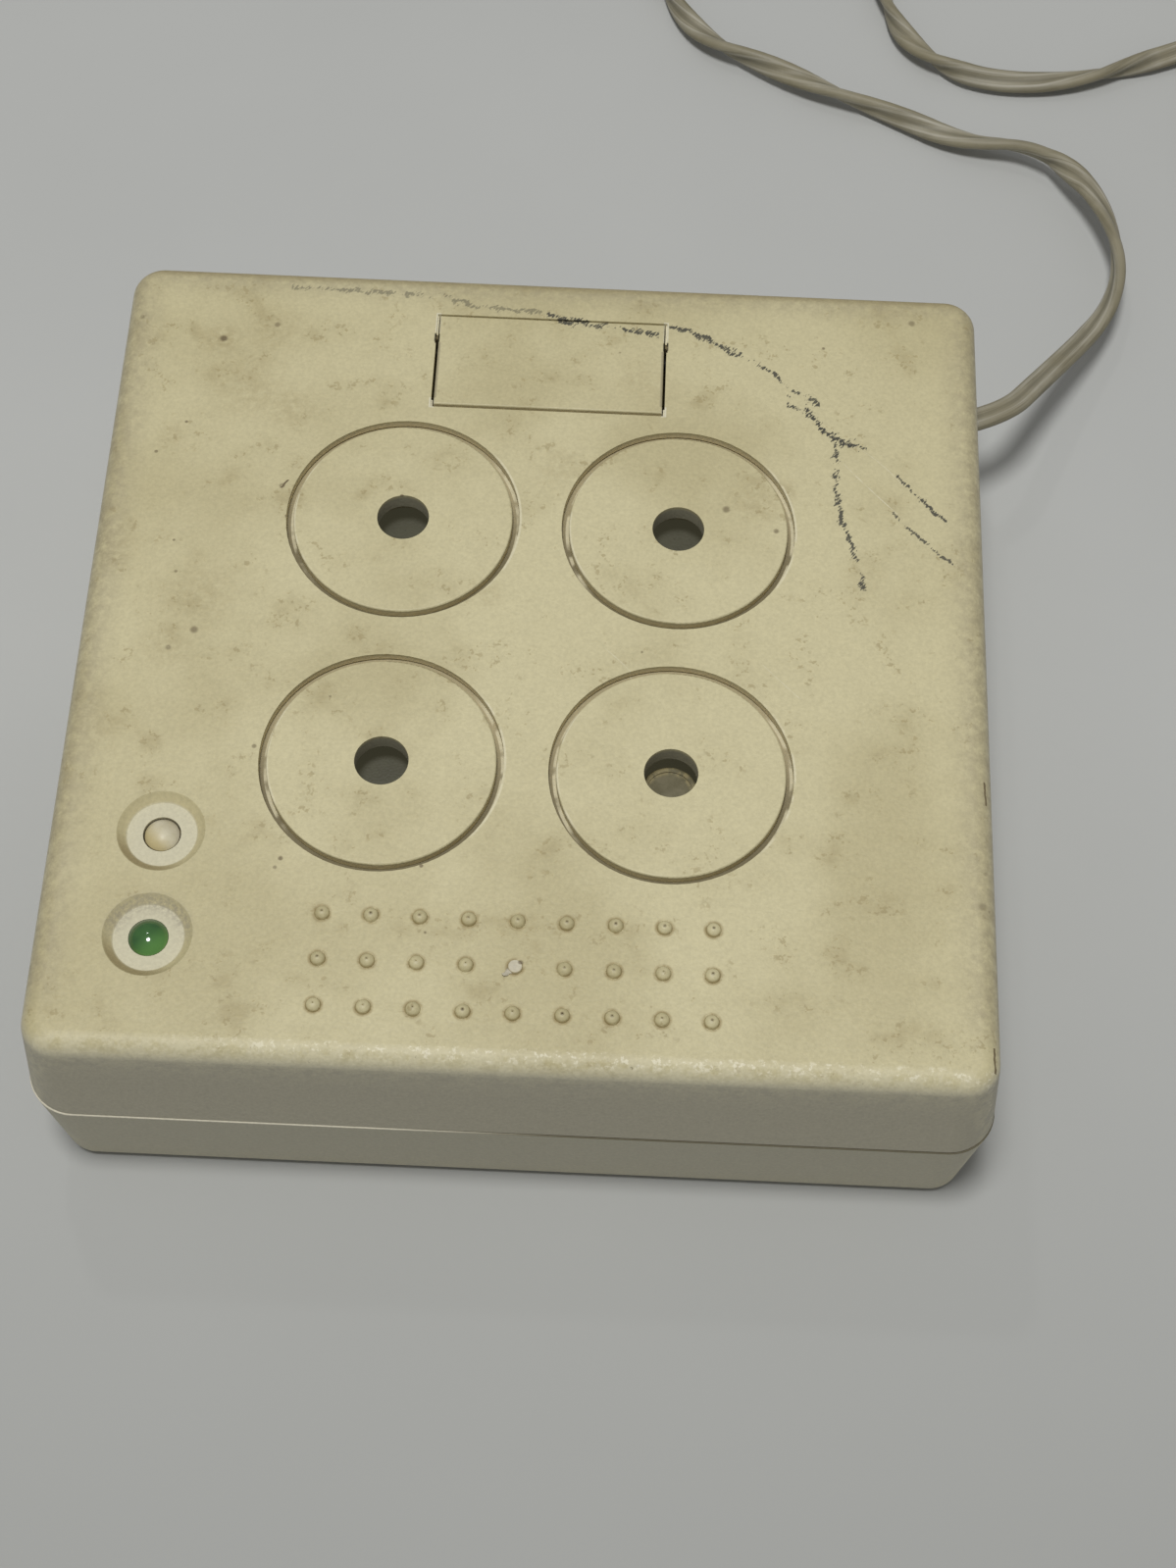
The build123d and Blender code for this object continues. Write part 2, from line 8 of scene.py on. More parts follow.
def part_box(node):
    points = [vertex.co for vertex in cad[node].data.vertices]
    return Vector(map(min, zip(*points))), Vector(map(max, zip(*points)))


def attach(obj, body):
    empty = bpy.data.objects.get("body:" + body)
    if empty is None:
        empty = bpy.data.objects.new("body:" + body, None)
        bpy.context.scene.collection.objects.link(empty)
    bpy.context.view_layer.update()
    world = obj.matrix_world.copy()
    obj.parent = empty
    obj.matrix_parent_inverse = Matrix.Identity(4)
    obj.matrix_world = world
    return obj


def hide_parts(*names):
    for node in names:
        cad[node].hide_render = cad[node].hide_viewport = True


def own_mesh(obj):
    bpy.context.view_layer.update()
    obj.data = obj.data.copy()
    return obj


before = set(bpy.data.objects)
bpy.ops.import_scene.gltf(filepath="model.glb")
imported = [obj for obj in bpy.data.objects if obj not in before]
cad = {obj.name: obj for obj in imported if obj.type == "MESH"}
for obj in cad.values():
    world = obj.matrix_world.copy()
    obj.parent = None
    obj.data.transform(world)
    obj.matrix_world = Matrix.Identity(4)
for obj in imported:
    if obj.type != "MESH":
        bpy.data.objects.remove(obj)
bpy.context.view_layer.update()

buttons = ["back_left", "back_right", "front_left", "front_right"]


# camera

camera = {
    "place": (0.00989, -0.17076, 0.32945),
    "right": (0.99903, 0.04129, 0.01529),
    "up": (-0.0437, 0.8876, 0.4585),
    "lens": 57.76,
    "sensor": 36.0,
}
lens = bpy.data.cameras.new("camera")
lens.lens, lens.sensor_width = camera["lens"], camera["sensor"]
lens.clip_start, lens.clip_end = 0.01, 20.0
eye = bpy.data.objects.new("camera", lens)
right, up = Vector(camera["right"]).normalized(), Vector(camera["up"]).normalized()
turn = Matrix((right, up, right.cross(up))).transposed().to_4x4()
eye.matrix_world = Matrix.Translation(camera["place"]) @ turn
bpy.context.scene.collection.objects.link(eye)
bpy.context.scene.camera = eye
bpy.context.scene.view_settings.view_transform = "Standard"
print("camera set")


# node and mesh helpers

def linear(code):
    channels = [int(code[i:i + 2], 16) / 255 for i in (1, 3, 5)]
    curve = [c / 12.92 if c <= 0.04045 else ((c + 0.055) / 1.055) ** 2.4 for c in channels]
    return (*curve, 1.0)


def addNode(tree, kind, inputs=None, **settings):
    node = tree.nodes.new(kind)
    for name, value in settings.items():
        setattr(node, name, value)
    for key, value in (inputs or {}).items():
        if isinstance(value, bpy.types.Node):
            value = next(output for output in value.outputs if output.enabled)
        if isinstance(value, bpy.types.NodeSocket):
            tree.links.new(value, node.inputs[key])
        else:
            node.inputs[key].default_value = value
    return node


def newMaterial(name, **shader):
    made = bpy.data.materials.new(name)
    made.use_nodes = True
    made.node_tree.nodes.clear()
    surface = addNode(made.node_tree, "ShaderNodeBsdfPrincipled", shader)
    addNode(made.node_tree, "ShaderNodeOutputMaterial", {"Surface": surface.outputs["BSDF"]})
    place = addNode(made.node_tree, "ShaderNodeTexCoord").outputs["Object"]
    return made, made.node_tree, surface, place


def maths(tree, operation, *values):
    return addNode(tree, "ShaderNodeMath", dict(enumerate(values)), operation=operation)


def vectors(tree, operation, *values):
    return addNode(tree, "ShaderNodeVectorMath", dict(enumerate(values)), operation=operation)


def measure(tree, operation, *values):
    # a vector operation that gives one number: a length, a distance or a dot product
    return vectors(tree, operation, *values).outputs["Value"]


def mapped(tree, value, source=(0.0, 1.0), target=(0.0, 1.0), **settings):
    return addNode(tree, "ShaderNodeMapRange", {"Value": value, "From Min": source[0], "From Max": source[1],
                                                "To Min": target[0], "To Max": target[1]}, **settings)


def ramp(tree, value, low, high, smooth=True):
    # 0 at low, 1 at high, whichever is larger
    return mapped(tree, value, (low, high), interpolation_type="SMOOTHSTEP" if smooth else "LINEAR")


def joined(tree, operation, masks):
    total = masks[0]
    for mask in masks[1:]:
        total = maths(tree, operation, total, mask)
    return total


def both(tree, *masks):
    return joined(tree, "MULTIPLY", masks)


def largest(tree, masks):
    return joined(tree, "MAXIMUM", masks)


def laid(tree, under, over, mask):
    # the second colour over the first, where the mask is 1
    under, over = [linear(c) if isinstance(c, str) else c for c in (under, over)]
    return addNode(tree, "ShaderNodeMix", {"Factor": mask, "A": under, "B": over}, data_type="RGBA")


def recolour(tree, shader, colour):
    tree.links.new(next(o for o in colour.outputs if o.enabled), shader.inputs["Base Color"])


def inMillimetres(tree, place):
    return addNode(tree, "ShaderNodeVectorMath", {0: place, "Scale": 1000.0}, operation="SCALE")


def noise(tree, place, size, detail=2.0, roughness=0.5):
    # size: the width of one patch in millimetres
    return addNode(tree, "ShaderNodeTexNoise", {"Vector": place, "Scale": 1.0 / size, "Detail": detail,
                                                "Roughness": roughness})


def mottled(name, dark, light, size, relief=0.02, rough=(0.45, 0.6), **shaderValues):
    # two close tones in patches of the given size, a fine grain, and uneven gloss
    made, tree, shader, place = newMaterial(name, **shaderValues)
    scaled = inMillimetres(tree, place)
    patch = noise(tree, scaled, size, 3.0, 0.6)
    tone = laid(tree, dark, light, ramp(tree, patch, 0.35, 0.65))
    gloss = mapped(tree, patch, (0.3, 0.7), rough)
    fine = noise(tree, scaled, 0.35, 1.0, 0.5)
    height = maths(tree, "MULTIPLY", fine, relief)
    bump = addNode(tree, "ShaderNodeBump", {"Height": height, "Distance": 0.001})
    tree.links.new(tone.outputs["Result"], shader.inputs["Base Color"])
    tree.links.new(gloss.outputs[0], shader.inputs["Roughness"])
    tree.links.new(bump.outputs["Normal"], shader.inputs["Normal"])
    return made, tree, shader, scaled, tone


def newObject(name, verts, faces, body=None, smooth=True):
    mesh = bpy.data.meshes.new(name)
    mesh.from_pydata([tuple(v) for v in verts], [], faces)
    mesh.update()
    if smooth:
        mesh.shade_smooth()
    made = bpy.data.objects.new(name, mesh)
    bpy.context.scene.collection.objects.link(made)
    if body:
        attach(made, body)
    return made


def paint(material, *names):
    for name in names:
        cad[name].data.materials.clear()
        cad[name].data.materials.append(material)


# cord: one flat twin-core lead from the casing to its plug, the hidden length in a coil

cordRoute = [
    (0.0625, 0.0523, 0.0209), (0.0684, 0.0552, 0.0198), (0.0738, 0.0636, 0.0156),
    (0.0792, 0.0720, 0.0112), (0.0844, 0.0798, 0.0080), (0.0883, 0.0866, 0.0067),
    (0.0905, 0.0952, 0.0062), (0.0890, 0.1052, 0.0062), (0.0848, 0.1140, 0.0058),
    (0.0770, 0.1216, 0.0042), (0.0660, 0.1230, 0.0024), (0.0546, 0.1286, 0.0024),
    (0.0436, 0.1328, 0.0030), (0.0330, 0.1377, 0.0032), (0.0208, 0.1440, 0.0028),
    (0.0134, 0.1586, 0.0019), (0.0142, 0.1744, 0.0019), (0.0252, 0.1872, 0.0019),
    (0.0410, 0.1878, 0.0019), (0.0512, 0.1766, 0.0019), (0.0520, 0.1616, 0.0022),
    (0.0554, 0.1462, 0.0028), (0.0662, 0.1374, 0.0026), (0.0816, 0.1370, 0.0020),
    (0.0970, 0.1422, 0.0024), (0.1116, 0.1492, 0.0022), (0.1250, 0.1532, 0.0019),
]
coil = {
    "centre": (0.1390, 0.1275),
    "columns": (0.02655, 0.02285, 0.01915, 0.01545),   # turns side by side, outside to inside
    "layers": (0.0019, 0.00555, 0.0092),               # heights of the turns on each other
    "turns": 10,
    "perTurn": 16,
    "stepShare": 0.25,                                 # part of a turn that shifts to the next place
}
tailRoute = [
    (0.1555, 0.1396, 0.0106), (0.1610, 0.1336, 0.0126), (0.1646, 0.1260, 0.0129),
    (0.1655, 0.1180, 0.0126), (0.1646, 0.1100, 0.0096), (0.1626, 0.1030, 0.0062),
    (0.1616, 0.0970, 0.0047), (0.1615, 0.0920, 0.0046),
]
twinLead = {
    "core": 0.00093,        # radius of each core, and how far its middle is off the lead's
    "lobeEnd": 127.0,       # degrees round a core at which it meets the other
    "perLobe": 12,
    "length": 1.8,
    "width": 0.0037,
    # millimetres along the lead, degrees it has turned by there
    "twist": [(0, 0), (38, 20), (56, 90), (72, 180), (81, 290), (94, 330), (104, 402), (119, 492), (130, 582),
              (141, 672), (150, 762), (248, 1530), (254, 1600), (260, 1668), (266, 1745), (279, 1785),
              (290, 1848), (300, 1938), (330, 2030)],
    "coilTwist": 150.0,     # millimetres of lead to one slow turn inside the coil
}


def coilPoints():
    places = [(0, c) for c in (0, 1, 2, 3)] + [(1, c) for c in (3, 2, 1, 0)] + [(2, c) for c in (0, 1, 2)]
    steps, points = coil["perTurn"], []
    last = coil["turns"] * steps + 1
    swell = 1 / math.cos(math.pi / steps) ** 0.75     # the spline runs a little inside its points
    for i in range(last + 1):
        index, share = i // steps, i % steps / steps
        layer, column = places[index]
        nextLayer, nextColumn = places[min(index + 1, len(places) - 1)]
        t = max(0.0, (share - 1 + coil["stepShare"]) / coil["stepShare"])
        t = t * t * (3 - 2 * t)
        radius = coil["columns"][column] * (1 - t) + coil["columns"][nextColumn] * t
        height = coil["layers"][layer] * (1 - t) + coil["layers"][nextLayer] * t
        angle = math.pi / 2 - 2 * math.pi * i / steps
        points.append((coil["centre"][0] + radius * swell * math.cos(angle),
                       coil["centre"][1] + radius * swell * math.sin(angle), height))
    return points


def splineLine(points, resolution):
    curve = bpy.data.curves.new("route", "CURVE")
    curve.dimensions = "3D"
    spline = curve.splines.new("NURBS")
    spline.points.add(len(points) - 1)
    for target, point in zip(spline.points, points):
        target.co = (*point, 1.0)
    spline.order_u, spline.use_endpoint_u, spline.resolution_u = 3, True, resolution
    holder = bpy.data.objects.new("route", curve)
    bpy.context.scene.collection.objects.link(holder)
    bpy.context.view_layer.update()
    mesh = bpy.data.meshes.new_from_object(holder)
    line = np.array([v.co for v in mesh.vertices])
    bpy.data.objects.remove(holder)
    return line


def twinTube(name, line, body):
    gaps = np.linalg.norm(np.diff(line, axis=0), axis=1)
    line = line[np.concatenate([[True], gaps > 1e-7])]
    gaps = np.linalg.norm(np.diff(line, axis=0), axis=1)
    along = np.concatenate([[0.0], np.cumsum(gaps)])
    forward = np.gradient(line, axis=0)
    forward /= np.linalg.norm(forward, axis=1)[:, None]
    upright = np.array([0, 0, 1.0]) - forward * forward[:, 2:3]
    upright /= np.linalg.norm(upright, axis=1)[:, None]
    side = np.cross(forward, upright)
    stops = np.array(twinLead["twist"], float)
    turned = np.interp(along * 1000, stops[:, 0], stops[:, 1])
    turned += np.maximum(0, along * 1000 - stops[-1, 0]) * 360 / twinLead["coilTwist"]
    turned = np.radians(turned)[:, None]
    wide = np.cos(turned) * side + np.sin(turned) * upright
    thin = np.cross(wide, forward)
    lobe = np.radians(np.linspace(-twinLead["lobeEnd"], twinLead["lobeEnd"], twinLead["perLobe"]))
    core = twinLead["core"]
    across = np.concatenate([core + core * np.cos(lobe), -core - core * np.cos(lobe)])
    deep = np.concatenate([core * np.sin(lobe), -core * np.sin(lobe)])
    ring = len(across)
    verts = (line[:, None] + wide[:, None] * across[None, :, None] + thin[:, None] * deep[None, :, None])
    faces = []
    for i in range(len(line) - 1):
        a, b = i * ring, (i + 1) * ring
        faces += [(a + j, a + (j + 1) % ring, b + (j + 1) % ring, b + j) for j in range(ring)]
    faces.append(tuple(range(ring))[::-1])
    faces.append(tuple((len(line) - 1) * ring + j for j in range(ring)))
    made = newObject(name, verts.reshape(-1, 3), faces, body)
    layout = {"across": np.tile(across / core / 2, len(line)), "along": np.repeat(along, ring)}
    for label, values in layout.items():
        stored = made.data.attributes.new(label, "FLOAT", "POINT")
        stored.data.foreach_set("value", values.astype(np.float32))
    return made, line


cordLine = splineLine(cordRoute + coilPoints() + tailRoute, resolution=16)
lead, leadLine = twinTube("twinLead", cordLine, "housing")
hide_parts("cord_lead", "cord_coil", "cord_tail")
print("cord laid:", round(float(np.linalg.norm(np.diff(leadLine, axis=0), axis=1).sum()), 3), "m,",
      len(lead.data.polygons), "faces")


# floor and light

stage = {
    "half": 3.0, "floor": ("#b7b8b5", "#c0c1be"), "nearShade": "#9a9b97",
    "zenith": ("#ffffff", 0.28), "horizon": ("#f4f4f2", 0.23),
    "panel": ((-0.07, -0.15, 1.15), 0.26, 7.7), "bulb": ((-0.175, 0.394, 0.902), 0.05, 0.3),
}
h = stage["half"]
floor = newObject("floor", [(-h, -h, 0), (h, -h, 0), (h, h, 0), (-h, h, 0)], [(0, 1, 2, 3)], smooth=False)
worktop, tree, shader, place = newMaterial("paleWorktop", Roughness=0.6)
cloud = addNode(tree, "ShaderNodeTexNoise", {"Vector": place, "Scale": 14.0, "Detail": 4.0})
tone = laid(tree, stage["floor"][0], stage["floor"][1], cloud)
depth = addNode(tree, "ShaderNodeSeparateXYZ", {0: place})
# painted shade: the floor darker towards the front
front = mapped(tree, depth.outputs[1], (0.02, -0.17))
tone = laid(tree, tone, stage["nearShade"], front)
tree.links.new(tone.outputs["Result"], shader.inputs["Base Color"])
floor.data.materials.append(worktop)

world = bpy.data.worlds.new("room")
bpy.context.scene.world = world
world.use_nodes = True
tree = world.node_tree
tree.nodes.clear()
rise = addNode(tree, "ShaderNodeSeparateXYZ", {0: addNode(tree, "ShaderNodeTexCoord").outputs["Generated"]})
high = mapped(tree, rise.outputs[2], (0.1, 0.9))
glow = laid(tree, stage["horizon"][0], stage["zenith"][0], high)
power = mapped(tree, high, target=(stage["horizon"][1], stage["zenith"][1]))
sky = addNode(tree, "ShaderNodeBackground", {"Color": glow, "Strength": power})
addNode(tree, "ShaderNodeOutputWorld", {"Surface": sky})
for name in ("panel", "bulb"):
    spot, size, energy = stage[name]
    light = bpy.data.lights.new(name, "AREA")
    light.shape, light.size, light.energy = "DISK", size, energy
    lamp = bpy.data.objects.new(name, light)
    lamp.location = spot
    lamp.rotation_euler = Vector(spot).to_track_quat("Z", "Y").to_euler()
    bpy.context.scene.collection.objects.link(lamp)
print("floor and light set")


# aged moulded plastic of the two shells, the buttons and the bar

caseLook = {
    "clean": "#cdc49c", "dull": "#bdb38a", "stainAndShade": "#9a8a5e", "speck": "#6b5c40", "pale": "#d9d2b4",
    "wall": "#b7b19c", "lowWall": "#c5bfa8", "rim": "#9b9175", "flakeSheen": "#e8e2ca",
    "seamHighlight": "#e2dcc6", "seamShade": "#5f583f",                      # parting line: painted highlight on the left, painted shade on the right
    "litGapWall": "#e6d9ae", "gapFloorShade": "#71674a",                  # ring gaps: painted light and shade, lighter walls and darker floors
    "litBackWall": "#e4d9b6", "litBackFloor": "#ada17e", "lip": "#dcd4b4", "eyeWall": "#a39f8a",
    "floorRing": "#cdc7ab", "dirt": "#8d7d55", "dust": "#968f7e",    # dishes
    "rub": "#30302c", "bruise": "#cbc5b6",
    # millimetres: heights, half width, a button's middle off the casing's, patches
    "topZ": 39.4, "gapZ": 38.0, "half": 60.6, "buttonAt": 18.88, "grain": 0.45, "cloud": 26.0, "blot": 6.5,
}
pipGrid = {"first": (-24.62, -40.97, 0.0), "pitch": (6.18, 6.24, 1.0), "middle": (0.1, -47.21),
           "reach": (28.0, 9.5)}
dishes = {"small": (-46.25, -30.4), "lamp": (-46.25, -44.9), "between": -37.65, "apart": 14.5}
# rub marks: the axis they run along, points in millimetres, half width, strength
rubMarks = [
    ("x", [(-38.0, 57.8), (-28.0, 57.2), (-17.1, 56.7), (-9.5, 55.4), (-1.3, 54.6)], 1.0, 0.5),
    ("x", [(-1.0, 54.5), (4.6, 53.2), (9.4, 52.6), (15.4, 51.6)], 1.25, 0.9),
    ("x", [(16.6, 53.3), (21.2, 51.7), (25.6, 49.3), (30.9, 46.4), (34.1, 43.4), (38.4, 40.4)], 1.2, 0.9),
    ("x", [(33.6, 41.0), (37.3, 38.5), (39.0, 36.4), (41.2, 34.7), (44.9, 33.2)], 1.6, 0.95),
    ("y", [(10.1, 44.2), (16.0, 43.0), (20.8, 41.5), (26.3, 40.6), (34.2, 40.7)], 1.0, 0.9),
    ("x", [(48.8, 29.0), (52.4, 25.2), (55.8, 21.7)], 1.0, 0.9),
    ("x", [(48.2, 22.9), (52.2, 18.7), (56.5, 15.0)], 0.85, 0.85),
]
paleMarks = [
    ("x", [(41.6, 30.8), (44.6, 27.4), (49.0, 22.8)], 0.17, 0.75),
    ("x", [(44.2, 33.2), (47.0, 30.8), (49.8, 27.6)], 0.15, 0.5),
    ("x", [(9.6, -0.6), (11.8, -2.6), (13.6, -4.6)], 0.15, 0.6),
    ("x", [(30.6, -2.0), (33.0, -4.4), (35.6, -7.0)], 0.15, 0.6),
]
# knocks and spots: x, y, radius in millimetres, strength
spots = [
    (-46.6, 47.8, 0.5, 0.9), (-39.2, 50.6, 0.4, 0.6), (-35.9, 23.2, 0.35, 0.9),
    (-45.4, -0.4, 0.5, 0.7), (-48.5, -3.3, 0.35, 0.6), (-30.6, -33.6, 0.3, 0.8), (-31.2, -34.9, 0.25, 0.6),
    (58.9, -36.1, 0.5, 0.6), (25.4, 22.4, 0.5, 0.7), (6.6, -62.4, 0.9, 0.8),
    (32.3, 19.2, 0.35, 0.7), (-35.6, -17.6, 0.3, 0.7), (51.5, 55.6, 0.45, 0.6), (-58.6, 51.0, 0.35, 0.7),
]
softSpots = [
    (-46.8, 47.6, 2.2, 0.6), (-39.5, 50.0, 3.4, 0.35), (-42.0, 39.5, 4.2, 0.35), (-36.0, 36.5, 3.2, 0.4),
    (-52.0, 31.0, 1.6, 0.35), (-45.0, 5.5, 4.5, 0.3), (-57.5, 12.0, 2.6, 0.4), (-49.0, -3.0, 3.0, 0.3),
    (29.6, 23.6, 3.2, 0.4), (33.6, 25.8, 1.6, 0.45), (-6.6, 7.2, 1.8, 0.35), (2.0, 28.4, 3.0, 0.3),
    (-59.0, 47.0, 2.0, 0.3), (14.0, 43.6, 3.4, 0.25), (-56.0, -16.0, 2.8, 0.3), (44.0, 12.6, 2.4, 0.3),
]
# beside the bar: from and to across, from and to along, in millimetres, and the colour there
barEdges = [
    (15.95, 16.65, 50.5, 53.9, "#d9d3b8"), (15.95, 16.7, 48.9, 50.3, "#37332a"),
    (15.75, 16.1, 39.2, 48.8, "#a0977a"), (16.0, 16.7, 37.4, 39.1, "#dcd6bd"),
]
nicks = [
    ("y", [(-21.4, 59.9), (-18.0, 59.7)], 0.28, 0.9),
    ("y", [(-58.2, 59.9), (-55.0, 59.8)], 0.3, 0.95),
    ("y", [(22.8, -36.1), (24.2, -35.2)], 0.3, 1.0),
]


def markMask(tree, parts, wander, dashes, mark):
    # a thin wandering line through the mark's points, broken into dashes
    axis, points, half, strength = mark
    run, other = (0, 1) if axis == "x" else (1, 0)
    start, end = points[0][0], points[-1][0]
    low, high = min(p[1] for p in points) - 1, max(p[1] for p in points) + 1
    share = mapped(tree, parts.outputs[run], (start, end))
    bend = addNode(tree, "ShaderNodeFloatCurve", {"Value": share})
    curve = bend.mapping.curves[0]
    places = [((s - start) / (end - start), (t - low) / (high - low)) for s, t in points]
    curve.points[0].location, curve.points[1].location = places[0], places[-1]
    for place in places[1:-1]:
        curve.points.new(*place)
    bend.mapping.update()
    line = mapped(tree, bend, target=(low, high))
    off = maths(tree, "SUBTRACT", parts.outputs[other], line)
    drift = maths(tree, "MULTIPLY_ADD", wander, half * 2, off)
    away = maths(tree, "ABSOLUTE", drift)
    near = mapped(tree, away, (half, half * 0.15), (0.0, 0.43))
    dots = maths(tree, "ADD", near, dashes)
    dots = ramp(tree, dots, 0.8, 0.92)
    inside = maths(tree, "COMPARE", share, 0.5, 0.495)
    return both(tree, dots, inside, strength)


def spotMask(tree, flat, spot, softness):
    x, y, radius, strength = spot
    away = measure(tree, "DISTANCE", flat, (x, y, 0))
    return mapped(tree, away, (radius * (1 + softness), radius * (1 - softness)), (0.0, strength),
                  interpolation_type="SMOOTHSTEP")


# injection-moulded ABS, never painted: a fine matt grain and stains; walls painted greyer than the top as
# painted shade, painted light and shade with brown dirt in its gaps, a painted highlight with wear on the
# front edge
agedAbs, tree, shader, place = newMaterial("agedAbs", IOR=1.53)
look = caseLook
scaled = inMillimetres(tree, place)
parts = addNode(tree, "ShaderNodeSeparateXYZ", {0: scaled})
flat = vectors(tree, "MULTIPLY", scaled, (1, 1, 0))
x, y, z = parts.outputs
grain = noise(tree, scaled, look["grain"], 1.0, 0.6)
cloud = noise(tree, scaled, look["cloud"], 3.0, 0.55)
blot = noise(tree, scaled, look["blot"], 2.0, 0.6)
rough = noise(tree, scaled, 1.4, 3.0, 0.7)

onTop = ramp(tree, z, look["topZ"] - 2.4, look["topZ"] - 0.15)
absX, absY = [maths(tree, "ABSOLUTE", v) for v in (x, y)]
outer = maths(tree, "MAXIMUM", absX, absY)
inField = ramp(tree, outer, look["half"] - 3.0, look["half"] - 3.6, False)
below = ramp(tree, z, look["topZ"] - 0.2, look["topZ"] - 0.75, False)
inGap = both(tree, inField, below)

colour = laid(tree, look["clean"], look["dull"], ramp(tree, cloud, 0.36, 0.66))
# painted shade: the top duller further from its middle
corner = measure(tree, "DISTANCE", flat, (6, -4, 0))
colour = laid(tree, colour, look["dull"], both(tree, ramp(tree, corner, 30, 90), 0.4))
colour = laid(tree, colour, look["stainAndShade"],
              both(tree, ramp(tree, blot, 0.56, 0.74), ramp(tree, cloud, 0.42, 0.6), 0.32))
soft = largest(tree, [spotMask(tree, flat, s, 0.85) for s in softSpots])
colour = laid(tree, colour, look["stainAndShade"], both(tree, soft, ramp(tree, rough, 0.3, 0.62), 0.8))
smudge = ramp(tree, noise(tree, scaled, 1.0, 2.0, 0.7), 0.57, 0.66)
smudge = both(tree, smudge, ramp(tree, blot, 0.5, 0.62), 0.5)
colour = laid(tree, colour, look["stainAndShade"], smudge)
cells = addNode(tree, "ShaderNodeTexVoronoi", {"Vector": scaled, "Scale": 1 / 6.0, "Randomness": 1.0})
flecks = both(tree, ramp(tree, cells.outputs["Distance"], 0.055, 0.03), ramp(tree, blot, 0.46, 0.56), 0.75)
colour = laid(tree, colour, look["speck"], flecks)
hard = largest(tree, [spotMask(tree, flat, s, 0.5) for s in spots])
colour = laid(tree, colour, look["speck"], both(tree, hard, ramp(tree, rough, 0.28, 0.45)))

# painted shade with dirt at the foot of each pip and in the pit on its top
step = vectors(tree, "SUBTRACT", flat, pipGrid["first"])
step = vectors(tree, "DIVIDE", step, pipGrid["pitch"])
step = vectors(tree, "ADD", step, (0.5, 0.5, 0))
step = vectors(tree, "FRACTION", step)
step = vectors(tree, "SUBTRACT", step, (0.5, 0.5, 0))
step = vectors(tree, "MULTIPLY", step, pipGrid["pitch"])
fromPip = measure(tree, "LENGTH", step)
byPips = both(tree, maths(tree, "COMPARE", x, pipGrid["middle"][0], pipGrid["reach"][0]),
              maths(tree, "COMPARE", y, pipGrid["middle"][1], pipGrid["reach"][1]))
foot = both(tree, ramp(tree, fromPip, 0.72, 0.98), ramp(tree, fromPip, 1.45, 1.02), byPips)
pit = both(tree, ramp(tree, fromPip, 0.34, 0.14), byPips)
colour = laid(tree, colour, look["stainAndShade"], both(tree, foot, ramp(tree, rough, 0.25, 0.6), 0.95))
colour = laid(tree, colour, look["speck"], both(tree, pit, ramp(tree, rough, 0.3, 0.7), 0.8))

# painted shade: the walls and rolled edges greyer than the top, the upper shell's wall darker than the lower
sides = laid(tree, look["wall"], look["lowWall"], ramp(tree, z, 21.1, 20.7))
# painted highlight: the rolled edges paler towards the top
sides = laid(tree, sides, look["pale"], both(tree, ramp(tree, z, 35.5, 38.0), 0.6))
colour = laid(tree, sides, colour, largest(tree, [onTop, inGap]))
# painted shade with dirt: darker and mottled along the left, right and back edges
edge = both(tree, ramp(tree, outer, 54.0, 60.2), ramp(tree, y, -58.0, -50.0), ramp(tree, z, 36.2, 38.6))
colour = laid(tree, colour, look["rim"], both(tree, edge, ramp(tree, rough, 0.15, 0.75), 0.75))
# painted shade with dirt: darker along the back edge
back = both(tree, ramp(tree, y, 58.2, 60.0), ramp(tree, z, 36.0, 38.0))
colour = laid(tree, colour, look["stainAndShade"], both(tree, back, 0.6))
# painted highlight with wear: paler along the front edge, and in pale flakes further left
worn = both(tree, ramp(tree, y, -58.2, -59.6), ramp(tree, y, -61.6, -60.6), ramp(tree, rough, 0.35, 0.6))
colour = laid(tree, colour, look["pale"], both(tree, worn, 0.5))
pitted = both(tree, ramp(tree, y, -57.5, -60.0), ramp(tree, z, 37.0, 38.2), ramp(tree, rough, 0.68, 0.74))
colour = laid(tree, colour, look["speck"], both(tree, pitted, 0.6))
flakedSheen = both(tree, ramp(tree, y, -57.8, -58.6), ramp(tree, y, -60.4, -59.4), ramp(tree, x, -52.0, -20.0),
              ramp(tree, noise(tree, scaled, 0.9, 3.0, 0.7), 0.54, 0.64))
colour = laid(tree, colour, look["flakeSheen"], both(tree, flakedSheen, 0.55))

# painted light and shade in the gaps: walls painted lighter and floors darker, with other tones behind each
# button; the buttons' eyes have greyer walls; the dishes' floors stay clean
fold = vectors(tree, "ABSOLUTE", flat)
fold = vectors(tree, "SUBTRACT", fold, (look["buttonAt"], look["buttonAt"], 0))
fromButton = measure(tree, "LENGTH", fold)
onGapFloor = ramp(tree, z, look["gapZ"] + 0.05, look["gapZ"] - 0.05)
gapShading = laid(tree, look["litGapWall"], look["gapFloorShade"], onGapFloor)
backShading = laid(tree, look["litBackWall"], look["litBackFloor"], onGapFloor)
foldX, foldY = addNode(tree, "ShaderNodeSeparateXYZ", {0: fold}).outputs[:2]
behind = both(tree, foldY, maths(tree, "SIGN", y))
inRing = ramp(tree, fromButton, 17.5, 17.0)
gapShading = laid(tree, gapShading, backShading, both(tree, ramp(tree, behind, -7, 9), inRing))
gapShading = laid(tree, gapShading, look["eyeWall"], ramp(tree, fromButton, 4.2, 4.0))
colour = laid(tree, colour, gapShading, both(tree, inGap, 0.95))
fromSmall, fromLamp = [measure(tree, "DISTANCE", flat, (*dishes[d], 0)) for d in ("small", "lamp")]
fromDish = maths(tree, "MINIMUM", fromSmall, fromLamp)
